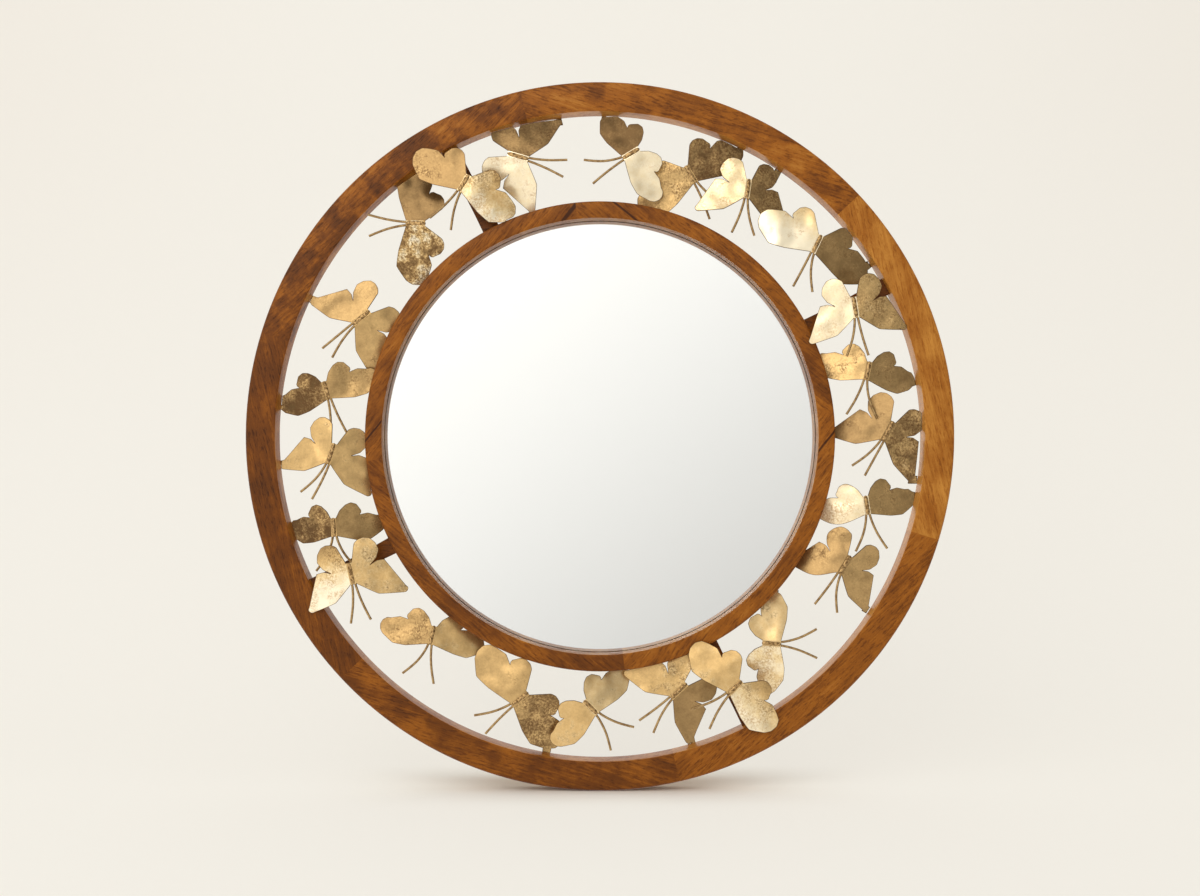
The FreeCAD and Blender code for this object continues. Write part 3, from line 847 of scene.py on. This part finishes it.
def sheet_half(path, to_world, seed, finish, rise):
    """One half: its path lies in its own plane, X along the fold and Y away from it.

    The finish is a tone and a wear; the tone carries painted light and shade, and rises from the tail to
    the head by the last value, as a painted highlight."""
    left, right = min(p.x for p in path), max(p.x for p in path)
    reach = max(p.y for p in path)
    ring = [(i, (i + 1) % len(path)) for i in range(len(path))]
    points = path + net_inside(path)
    flat, _, faces, *_ = delaunay_2d_cdt(points, ring, [], KEEP_INSIDE, SAME_PLACE)
    heights = [beaten_height(p, reach, seed) for p in flat]
    mesh = bmesh.new()
    front, back = [
        [mesh.verts.new(to_world @ Vector((*p, height - depth))) for p, height in zip(flat, heights)]
        for depth in (0, SHEET)
    ]
    for face in faces:
        mesh.faces.new([front[i] for i in face])
        mesh.faces.new([back[i] for i in face][::-1])
    pair = dict(zip(front, back))
    for edge in [e for e in mesh.edges if len(e.link_faces) == 1]:
        a, b = edge.verts
        if a in pair and b in pair:
            mesh.faces.new((a, b, pair[b], pair[a]))
    bmesh.ops.recalc_face_normals(mesh, faces=mesh.faces)
    half = mesh_object("half", mesh)
    tone, wear = finish
    # Painted highlight: the tone rises towards the head end by rise.
    painted_light_tones = [tone + rise * ((p.x - left) / (right - left) - 0.5) for p in flat]
    set_values(half, rim=2 * list(rim_distances(flat, path)), tone=2 * painted_light_tones, wear=wear)
    return half


# %% [markdown]
# ## The brazed body
#
# Where the folds meet, the maker runs a bead of braze along the spine. It covers both folds and holds
# the antennae, and it is lumpy and darker than the leaf. A ball is stretched along the spine, flattened,
# and its points are moved in and out with seeded noise.

# %% A body bead
BODY_WIDTH = 2.3 * MM
BODY_LIFT = 1.5 * MM
BODY_OVERHANG = 0.5 * MM
BODY_SUNK = 0.4 * SHEET
LUMP = 0.3 * MM
LUMP_CELL = 3 * MM
LUMPS_ROUND = 1.6
BEAD_FINENESS = 4


def body_bead(tail, head, up, seed):
    """A lumpy bead from one end of the spine to the other, blunt at both."""
    mesh = bmesh.new()
    bmesh.ops.create_icosphere(mesh, subdivisions=BEAD_FINENESS, radius=1.0)
    along = (head - tail).normalized()
    left = up.cross(along)
    middle = (tail + head) / 2
    half = (head - tail).length / 2 + BODY_OVERHANG
    for vert in mesh.verts:
        x, y, z = vert.co
        blunt = 1 - abs(x) ** 5
        width = BODY_WIDTH * blunt ** 0.5 / max(math.hypot(y, z), 1e-6)
        cell = Vector((x * half / LUMP_CELL, LUMPS_ROUND * y, LUMPS_ROUND * z + seed))
        lump = 1 + LUMP / BODY_WIDTH * noise.noise(cell)
        rise = BODY_LIFT / BODY_WIDTH * width * z * lump
        place = along * (math.copysign(abs(x) ** 0.8, x) * half) + left * (width * y * lump)
        vert.co = middle + place + up * (rise - BODY_SUNK)
    bmesh.ops.recalc_face_normals(mesh, faces=mesh.faces)
    return mesh_object("bead", mesh)


# %% The strip of sheet under the bead
def spine_strip(corner_points, up, finish):
    """The flat strip between the two folds, with the finish of the inner half."""
    strip = chain_of_rows("strip", [[p - up * depth for p in corner_points] for depth in (0, SHEET)])
    tone, wear = finish
    set_values(strip, rim=SHEET, tone=tone, wear=wear)
    return strip


# %% [markdown]
# ## All the butterflies
#
# The halves are read from the frame, smoothed and beaten one after the other. Their finish was judged.
# Each butterfly has two pairs of numbers: the half towards the outer ring, then the one towards the
# inner. The first number of a pair is its tone, from -1 for brown to 1 for nearly white, and the second
# its wear. The tone is partly painted light and shade: halves that look lit are painted paler, and
# halves that look shaded are painted browner. On four halves the light catches the head end, so a
# painted highlight makes their tone rise towards it.

# %% Make the wings
# Pairs of tone and wear; the tone carries painted light and shade.
PAINTED_LIGHT_AND_WEAR = {
    1: ((-0.7, 0.5), (1.0, 0.3)),
    2: ((-1.1, 0.2), (1.0, 0.2)),
    3: ((-0.7, 0.8), (-0.1, 0.6)),
    4: ((-0.4, 0.7), (0.7, 0.4)),
    5: ((-0.4, 0.2), (1.0, 0.1)),
    6: ((0.0, 0.6), (0.9, 0.3)),
    7: ((-0.3, 0.3), (0.0, 0.3)),
    8: ((-0.3, 0.8), (-0.6, 0.2)),
    9: ((-0.2, 0.3), (0.9, 0.4)),
    10: ((-0.2, 0.2), (-0.4, 0.2)),
    11: ((0.8, 0.7), (0.3, 0.1)),
    12: ((0.5, 0.5), (0.1, 0.1)),
    13: ((-0.5, 0.2), (0.1, 0.4)),
    14: ((0.1, 0.1), (0.35, 0.1)),
    15: ((-0.4, 0.8), (-0.1, 0.1)),
    16: ((-0.3, 0.4), (0.1, 0.1)),
    17: ((0.7, 0.6), (0.2, 0.4)),
    18: ((-0.8, 0.9), (-0.3, 0.2)),
    19: ((0.0, 0.1), (0.0, 0.1)),
    20: ((-0.8, 0.85), (-0.3, 0.2)),
    21: ((-0.3, 0.2), (-0.1, 0.2)),
    22: ((-0.8, 0.1), (0.1, 1.0)),
    23: ((-0.5, 0.2), (0.5, 0.7)),
}
# Painted highlights: the tone of these halves rises towards the head end.
PAINTED_HEAD_HIGHLIGHTS = {(5, 1): 1.6, (12, 0): 1.4, (17, 0): 2.4, (23, 1): 1.3}  # rise of (butterfly, half)
ON_FOLD = 0.02 * MM
SEED_STEP = 3.1


def points_of(faces):
    return {vert for face in faces for vert in face.verts}


def fold_ends(points, head_side):
    """The tail end and the head end of a fold; head_side is a place beyond its head."""
    low = max(points, key=lambda p: max((p - q).length for q in points) + 1e-6 * p.x)
    high = max(points, key=lambda p: (p - low).length)
    if (low - head_side).length < (high - head_side).length:
        return high, low
    return low, high


def plane_of(half, centre, tail, head):
    """The frame of a half: X along its fold from the tail, Y away from the fold and Z out of the sheet."""
    along = (head - tail).normalized()
    normal = half[0].normal
    away = normal.cross(along)
    if (centre - tail) @ away < 0:
        away = -away
    return Matrix.Translation(tail) @ Matrix((along, away, normal)).transposed().to_4x4()


def open_outline(half, to_plane):
    """The outline of a half in its own plane, from one end of the fold round to the other."""
    chain = [(to_plane @ p).to_2d() for p in outlines(half)[0]]
    on_fold = [i for i, p in enumerate(chain) if abs(p.y) < ON_FOLD]
    start = [i for i in on_fold if (i + 1) % len(chain) not in on_fold][0]
    last = [i for i in on_fold if (i - 1) % len(chain) not in on_fold][0]
    path = chain[start:] + chain[:start]
    path = [path[0]] + [p for p in path[1:] if p.y > ON_FOLD] + [chain[last]]
    if path[0].x > path[-1].x:
        path.reverse()
    return path


def make_wings(number):
    node = f"butterfly_{number:02d}_wings"
    head_side = Vector(corners(f"butterfly_{number:02d}_antennae").mean(axis=0))
    mesh = merged(node)
    planes = front_planes(mesh)
    halves = planes[:2]
    spine = [p for p in planes[2:] if all(points_of(p) & points_of(half) for half in halves)][0]
    up = spine[0].normal.copy()
    pieces = []
    folds = []
    for index, half in enumerate(halves):
        tail, head = fold_ends([v.co.copy() for v in points_of(half) & points_of(spine)], head_side)
        folds.append((tail, head))
        centre = sum((f.calc_center_median() for f in half), Vector()) / len(half)
        to_world = plane_of(half, centre, tail, head)
        path = smooth_outline(open_outline(half, to_world.inverted()))
        side = 0 if math.hypot(centre.x, centre.z) > math.hypot(tail.x, tail.z) else 1
        rise = PAINTED_HEAD_HIGHLIGHTS.get((number, side), 0.0)
        seed = SEED_STEP * number + index
        pieces.append(sheet_half(path, to_world, seed, PAINTED_LIGHT_AND_WEAR[number][side], rise))
    mesh.free()
    pieces.append(spine_strip(folds[0] + folds[1][::-1], up, PAINTED_LIGHT_AND_WEAR[number][1]))
    for piece in pieces:
        piece.data.materials.append(GOLD_LEAF)
    tail, head = [(a + b) / 2 for a, b in zip(*folds)]
    bead = body_bead(tail, head, up, float(number))
    bead.data.materials.append(BRAZE)
    wings = smooth(joined(f"butterfly_{number:02d}_gilded_wings", pieces + [bead]), angle=50)
    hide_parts(node)
    return wings


wings = [make_wings(number) for number in PAINTED_LIGHT_AND_WEAR]
print("wings:", len(wings), "with", sum(len(w.data.polygons) for w in wings), "faces")


# %% [markdown]
# ## Threaded antennae
#
# The antennae are bent from thin threaded rod, and the thread catches the light in tiny stripes. A
# thread follows a path, so Geometry Nodes make it: the path is resampled several times per turn, its
# radius swells and shrinks with the length, and a circle is swept along it. The paths come from the
# frame: the middles of the sections that each CAD wire is lofted through.

# %% Node trees that make geometry
THREAD = {"Radius": 1.4 * MM, "Thread Depth": 0.16 * MM, "Pitch": 0.9 * MM}
STEPS_PER_TURN = 5.0
ROD_SIDES = 10


def geometry_net(name, labels):
    """The Net of a new tree, and the Values of its inputs: geometry, then a number for each label."""
    tree = bpy.data.node_groups.new(name, "GeometryNodeTree")
    tree.interface.new_socket("Geometry", in_out="INPUT", socket_type="NodeSocketGeometry")
    for label in labels:
        tree.interface.new_socket(label, in_out="INPUT", socket_type="NodeSocketFloat")
    tree.interface.new_socket("Geometry", in_out="OUTPUT", socket_type="NodeSocketGeometry")
    net = Net(tree)
    entry = tree.nodes.new("NodeGroupInput")
    return net, [Value(net, entry.outputs[i]) for i in range(1 + len(labels))]


def finished_tree(net, geometry, material):
    """Ends a tree in real geometry with its material."""
    real = net.make("GeometryNodeRealizeInstances", None, {"Geometry": geometry})
    done = net.make("GeometryNodeSetMaterial", None, {"Geometry": real, "Material": material})
    net.make("NodeGroupOutput", None, {0: done})
    return net.tree


def with_tree(piece, tree, inputs):
    """Runs a tree on a piece with these inputs, each set by its identifier, and bakes the result."""
    modifier = piece.modifiers.new(tree.name, "NODES")
    modifier.node_group = tree
    for item in tree.interface.items_tree:
        if item.name in inputs:
            modifier[item.identifier] = inputs[item.name]
    return baked(piece)


def thread_tree(material):
    net, (path, radius, depth, pitch) = geometry_net("threaded_rod", THREAD)
    values = {"Curve": path, "Length": pitch / STEPS_PER_TURN}
    resampled = net.make("GeometryNodeResampleCurve", {"mode": "LENGTH"}, values)
    length = net.make("GeometryNodeSplineParameter", None, None, "Length")
    angle = length / pitch * (2 * math.pi)
    groove = 0.5 - 0.5 * angle.math("COSINE", angle, 0.0)
    values = {"Geometry": resampled, "Name": "groove", "Value": groove}
    marked = net.make("GeometryNodeStoreNamedAttribute", {"data_type": "FLOAT", "domain": "POINT"}, values)
    circle = net.make("GeometryNodeCurvePrimitiveCircle", None, {"Resolution": ROD_SIDES, "Radius": 1.0})
    stored = net.make("GeometryNodeInputNamedAttribute", {"data_type": "FLOAT"}, {"Name": "groove"})
    values = {"Curve": marked, "Profile Curve": circle, "Fill Caps": True, "Scale": radius - depth * stored}
    return finished_tree(net, net.make("GeometryNodeCurveToMesh", None, values), material)


# %% Make the antennae
WIRE_SIDES = 5
WIRE_ORDER = 3
STEPS_PER_SECTION = 12


def wire_path(points, root):
    """The middles of a wire's sections, from the root to the tip."""
    direction = points.mean(axis=0) - root
    order = np.argsort((points - root) @ direction)
    return [points[order[i:i + WIRE_SIDES]].mean(axis=0) for i in range(0, len(order), WIRE_SIDES)]


def make_antennae(number, tree):
    node = f"butterfly_{number:02d}_antennae"
    root = corners(f"butterfly_{number:02d}_wings").mean(axis=0)
    curve = bpy.data.curves.new("antennae", "CURVE")
    curve.dimensions = "3D"
    for points in solids(node):
        path = wire_path(points, root)
        spline = curve.splines.new("NURBS")
        spline.points.add(len(path) - 1)
        for place, point in zip(spline.points, path):
            place.co = (*point, 1)
        spline.order_u = WIRE_ORDER
        spline.use_endpoint_u = True
        spline.resolution_u = STEPS_PER_SECTION
    made = smooth(with_tree(shown("antennae", curve), tree, THREAD), angle=60)
    made.name = f"butterfly_{number:02d}_threaded_antennae"
    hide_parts(node)
    return made


thread = thread_tree(WIRE)
antennae = [make_antennae(number, thread) for number in PAINTED_LIGHT_AND_WEAR]
print("antennae:", len(antennae), "pairs with", sum(len(a.data.polygons) for a in antennae), "faces")


# %% [markdown]
# ## Glass and its silver
#
# A mirror is clear glass with silver behind it. Seen at a slant, the glass shows a thin dark line
# between the ring and its reflection, as deep as the glass is thick. So the CAD disc becomes clear
# glass, and a thin silver disc lies right behind it, inside the room that the disc already fills.

# %% Glass and silver
def clear_glass(net):
    haze = net.noise(net.object_place(), 30.0)
    return {
        "Base Color": (0.995, 0.995, 0.985, 1.0),
        "Roughness": 0.002 * haze,
        "Transmission Weight": 1.0,
        "IOR": 1.5,
    }


def silver(net):
    haze = net.noise(net.object_place(), 12.0)
    return {"Base Color": (0.97, 0.97, 0.96, 1.0), "Metallic": 1.0, "Roughness": 0.01 * haze}


CLEAR_GLASS = finish_material("clear_glass", clear_glass)
SILVER = finish_material("mirror_silver", silver)
DISC_SIDES = 240
SILVER_THICKNESS = 0.3 * MM
HAIR = 0.05 * MM
SILVER_FRONT = BOARD_FRONT - HAIR - SILVER_THICKNESS


def disc(name, front, back, material):
    """A disc of the glass's radius between two depths."""
    clocks = [360 * k / DISC_SIDES for k in range(DISC_SIDES)]
    piece = chain_of_rows(name, [[at_clock(GLASS_R, clock, y) for clock in clocks] for y in (front, back)])
    piece.data.materials.append(material)
    return smooth(piece)


glass = disc("clear_glass_disc", GLASS_FRONT, SILVER_FRONT - HAIR, CLEAR_GLASS)
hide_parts("mirror_glass")
silver_disc = disc("silver_disc", SILVER_FRONT, BOARD_FRONT - HAIR, SILVER)


# %% [markdown]
# ## Fixings at the back
#
# The back shows what holds the mirror together: screws in the backing board, and a nail through each
# wing tip that reaches behind a ring. One nail and one screw are made first, and Geometry Nodes put a
# copy on each place that the frame gives, turned to the direction in which the CAD solid points.

# %% Steel, board, and the node tree that sets fixings
def steel(net):
    streaks = net.noise(net.object_place(), 700.0)
    tone = net.mix(streaks, colour(112, 106, 96), colour(168, 162, 150))
    return {"Base Color": tone, "Metallic": 1.0, "Roughness": 0.30 + 0.25 * streaks}


def hardboard(net):
    place = net.object_place()
    fibre = net.noise(place, 900.0, 4.0, 0.7)
    cloud = net.noise(place, 30.0)
    tone = net.mix(0.6 * fibre + 0.4 * cloud, colour(104, 72, 44), colour(158, 118, 78))
    bump = net.bump(fibre, 0.3 * MM, 0.25)
    return {"Base Color": tone, "Roughness": 0.62 + 0.2 * fibre, "Normal": bump}


STEEL = finish_material("fixing_steel", steel)
HARDBOARD = finish_material("hardboard", hardboard)


def setting_tree(name, fixing, material):
    """Puts a copy of a fixing on each point, its +Z turned to the attribute `axis`."""
    net, (points, size) = geometry_net(name, ["Size"])
    source = {"transform_space": "ORIGINAL"}
    copy = net.make("GeometryNodeObjectInfo", source, {"Object": fixing}, "Geometry")
    axis = net.make("GeometryNodeInputNamedAttribute", {"data_type": "FLOAT_VECTOR"}, {"Name": "axis"})
    turn = net.make("FunctionNodeAlignRotationToVector", {"axis": "Z"}, {"Vector": axis})
    values = {"Points": points, "Instance": copy, "Rotation": turn, "Scale": size}
    return finished_tree(net, net.make("GeometryNodeInstanceOnPoints", None, values), material)


# %% One nail, one screw, and where they go
HEAD_SIDES = 20


def lathe(name, profile):
    """A closed solid of rows of radius and height, turned about Z."""
    turns = [2 * math.pi * k / HEAD_SIDES for k in range(HEAD_SIDES)]
    rows = [[(r * math.cos(t), r * math.sin(t), height) for t in turns] for r, height in profile]
    return smooth(chain_of_rows(name, rows))


def bar(length, width, depth):
    """A bar about the origin, as a cutter."""
    outline = [(x * length / 2, y * width / 2) for x, y in ((-1, -1), (1, -1), (1, 1), (-1, 1))]
    return chain_of_rows("cutter", [[(x, y, z) for x, y in outline] for z in (-depth, depth)])


def fixing_places(node):
    """Where each solid of a node has its head, and the direction that the head faces."""
    places = []
    for points in solids(node):
        middle = points.mean(axis=0)
        axis = np.linalg.svd(points - middle)[2][0]
        axis = axis if axis[1] > 0 else -axis
        low, high = ((points - middle) @ axis).min(), ((points - middle) @ axis).max()
        line = points - middle - np.outer((points - middle) @ axis, axis)
        middle = middle + line.mean(axis=0)
        places.append((Vector(middle + axis * high), Vector(axis), high - low))
    return places


def set_fixings(name, node, fixing, material):
    """Sets a copy of the fixing in the place of each solid of a node, and drops the fixing."""
    places = fixing_places(node)
    mesh = bmesh.new()
    axis_layer = mesh.verts.layers.float_vector.new("axis")
    for place, axis, _ in places:
        vert = mesh.verts.new(place)
        vert[axis_layer] = axis
    tree = setting_tree(name + "_setting", fixing, material)
    made = with_tree(mesh_object(name, mesh), tree, {"Size": 1.0})
    made.name = name
    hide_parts(node)
    bpy.data.objects.remove(fixing)
    print(name, "set:", len(places), "length", round(1000 * places[0][2], 1), "mm")
    return made


NAIL_HEAD = 1.9 * MM
NAIL_SHANK = 0.8 * MM
nail = lathe("nail", [
    (0.05 * MM, -9.0 * MM),
    (NAIL_SHANK, -7.5 * MM),
    (NAIL_SHANK, -0.6 * MM),
    (NAIL_HEAD, -0.6 * MM),
    (NAIL_HEAD, -0.35 * MM),
    (0.8 * NAIL_HEAD, -0.1 * MM),
    (0.3 * NAIL_HEAD, 0.0),
])
nails = set_fixings("round_head_nails", "wing_nails", nail, STEEL)

SCREW_HEAD = 2.6 * MM
SCREW_SHANK = 1.3 * MM
RECESS_LENGTH = 1.15 * SCREW_HEAD
RECESS_WIDTH = 0.3 * SCREW_HEAD
RECESS_DEPTH = 1.1 * MM
screw = lathe("screw", [
    (0.1 * MM, -15.0 * MM),
    (SCREW_SHANK, -12.0 * MM),
    (SCREW_SHANK, -2.0 * MM),
    (SCREW_HEAD, -0.15 * MM),
    (SCREW_HEAD, 0.0),
])
crossed_bars = [
    bar(RECESS_LENGTH, RECESS_WIDTH, RECESS_DEPTH),
    bar(RECESS_WIDTH, RECESS_LENGTH, RECESS_DEPTH),
]
screws = set_fixings("cross_head_screws", "board_screws", cut_away(screw, crossed_bars), STEEL)


# %% [markdown]
# ## Pieces that keep their CAD shape
#
# The spokes, dowels, posts and backing board are right as they are. They only get their materials.

# %% Dress the CAD nodes
kept = {"backing_board": HARDBOARD, "spoke_dowels": SPOKE_WOOD, "butterfly_posts": STEEL}
kept.update({f"spoke_{i}": SPOKE_WOOD for i in range(1, 5)})
for name, material in kept.items():
    nodes[name].data.materials.clear()
    nodes[name].data.materials.append(material)

for piece, node in ((outer_ring, "outer_ring"), (inner_ring, "inner_ring")):
    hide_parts(node)
for piece in [outer_ring, inner_ring, glass, silver_disc, nails, screws] + wings + antennae:
    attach(piece, "root")


# %% [markdown]
# ## Studio
#
# The mirror stands on a pale sweep: a floor that curves up into a backdrop behind it. The sweep isn't
# part of the object. It fills its own shadows a little, except where the ring stands on it, and its back
# is clear, so that the mirror's back can be looked at too.

# %% Floor and backdrop
FLOOR_Z = cad_box[0].z
FLOOR_FRONT = -3.6
BACKDROP_Y = 1.30
BACKDROP_TOP = 3.0
BEND_R = 1.10
BEND_STEPS = 24
HALF_WIDTH = 4.0


def contact(net, reach, depth):
    """A mask that is 1 on the floor under the ring and fades out over a reach in X and a depth in Y."""
    x, y = net.parts(net.object_place(), 0, 1)
    return x.absolute().between(reach, 0.2 * reach) * y.absolute().between(depth, 0.3 * depth)


def paper(net):
    """Pale paper with painted shade: warmer, darker backdrop sides and a brown shadow under the ring."""
    place = net.object_place()
    x, z = net.parts(place, 0, 2)
    # Painted shade: the backdrop darkens and warms towards its sides.
    side = x.absolute().between(0.35, 1.45) * z.between(-0.30, 0.9)
    fibre = net.noise(place, 400.0)
    tone = net.mix(fibre, colour(245, 242, 233), colour(247, 244, 237))
    # Painted shadow: the paper is brown close under the ring, where its contact shadow falls.
    tone = net.mix(0.55 * contact(net, 0.26, 0.05), tone, colour(196, 170, 142))
    return {"Base Color": net.mix(side, tone, colour(236, 227, 215)), "Roughness": 0.9}


def pale_sweep(net):
    """Paper that looks plain and pale to the camera, and that lets a camera behind it see through."""
    lit = net.make("ShaderNodeBsdfPrincipled", None, paper(net))
    glow = net.make("ShaderNodeEmission", None, {"Color": colour(243, 239, 230), "Strength": 1.0})
    seen = net.make("ShaderNodeLightPath", None, None, "Is Camera Ray")
    # Painted light: to the camera the paper glows, which fills its shadows, less so close under the ring.
    filled = 0.7 * seen * (1.0 - contact(net, 0.34, 0.10))
    front = net.make("ShaderNodeMixShader", None, {0: filled, 1: lit, 2: glow})
    behind = net.make("ShaderNodeNewGeometry", None, None, "Backfacing")
    clear = net.make("ShaderNodeBsdfTransparent")
    return net.make("ShaderNodeMixShader", None, {0: behind, 1: front, 2: clear})


line = [(FLOOR_FRONT, FLOOR_Z)]
for k in range(BEND_STEPS + 1):
    angle = math.pi / 2 * k / BEND_STEPS
    line.append((BACKDROP_Y - BEND_R + BEND_R * math.sin(angle), FLOOR_Z + BEND_R * (1 - math.cos(angle))))
line.append((BACKDROP_Y, BACKDROP_TOP))
mesh = bmesh.new()
left, right = [[mesh.verts.new((x, y, z)) for y, z in line] for x in (-HALF_WIDTH, HALF_WIDTH)]
for i in range(len(line) - 1):
    mesh.faces.new((left[i], right[i], right[i + 1], left[i + 1]))
sweep = smooth(mesh_object("studio_sweep", mesh), angle=60)
sweep.data.materials.append(finish_material("pale_paper", pale_sweep))
sweep.visible_glossy = False
sweep.visible_transmission = False


# %% [markdown]
# ## Light
#
# A gold surface shows what it reflects, so the world is written as a studio. Straight ahead it is bright
# at the upper left and grey at the lower right, which the glass shows. Farther out lie a bright floor, a
# dim ceiling and a dim right side, which give the folded halves their light and dark. Other surfaces see
# an even grey, and one large soft light stands at the upper left.

# %% Light
KEY_PLACE = Vector((-1.1, -2.3, 1.7))
KEY_SIZE = 2.8
KEY_POWER = 36
DARKEST = 0.52
BRIGHTEST = 1.22
EVEN_GREY = 0.78

world = bpy.data.worlds.new("studio")
scene.world = world
world.use_nodes = True
net = Net(world.node_tree)
direction = net.make("ShaderNodeTexCoord", None, None, "Generated")
part_x, part_z = net.parts(direction, 0, 2)
slope = (0.93 + 1.15 * part_z - 0.90 * part_x).at_least(DARKEST).at_most(BRIGHTEST)
bright_floor = part_z.between(-0.17, -0.32)
dim_ceiling = part_z.between(0.28, 0.55)
dim_side = part_x.between(0.28, 0.55)
slope = slope + bright_floor * (1.15 - slope)
slope = slope * (1.0 - 0.45 * dim_ceiling) * (1.0 - 0.25 * dim_side)
reflected = net.make("ShaderNodeLightPath", None, None, "Is Glossy Ray")
through = net.make("ShaderNodeLightPath", None, None, "Is Transmission Ray")
share = reflected.at_least(through)
strength = share * slope + (1.0 - share) * EVEN_GREY
values = {"Color": (1.0, 0.992, 0.972, 1.0), "Strength": strength}
background = net.make("ShaderNodeBackground", None, values)
net.make("ShaderNodeOutputWorld", None, {"Surface": background})

lamp = bpy.data.lights.new("key_light", "AREA")
lamp.shape = "DISK"
lamp.size = KEY_SIZE
lamp.energy = KEY_POWER
lamp.color = (1.0, 0.985, 0.955)
key_light = shown("key_light", lamp)
key_light.location = KEY_PLACE
key_light.rotation_euler = (-KEY_PLACE).to_track_quat("-Z", "Y").to_euler()


# %% [markdown]
# ## Camera
#
# The picture was taken from straight ahead, a little below the middle of the mirror and about one and a
# half metres away.

# %% Camera
CAMERA_PLACE = Vector((0.0, -1.504, -0.0125))
SENSOR = 36.0  # millimetres
LENS = 41.23  # millimetres

camera = bpy.data.cameras.new("front_camera")
camera.sensor_width = SENSOR
camera.lens = LENS
eye = shown("front_camera", camera)
eye.location = CAMERA_PLACE
eye.rotation_euler = (math.pi / 2, 0, 0)
scene.camera = eye
scene.view_settings.view_transform = "Standard"
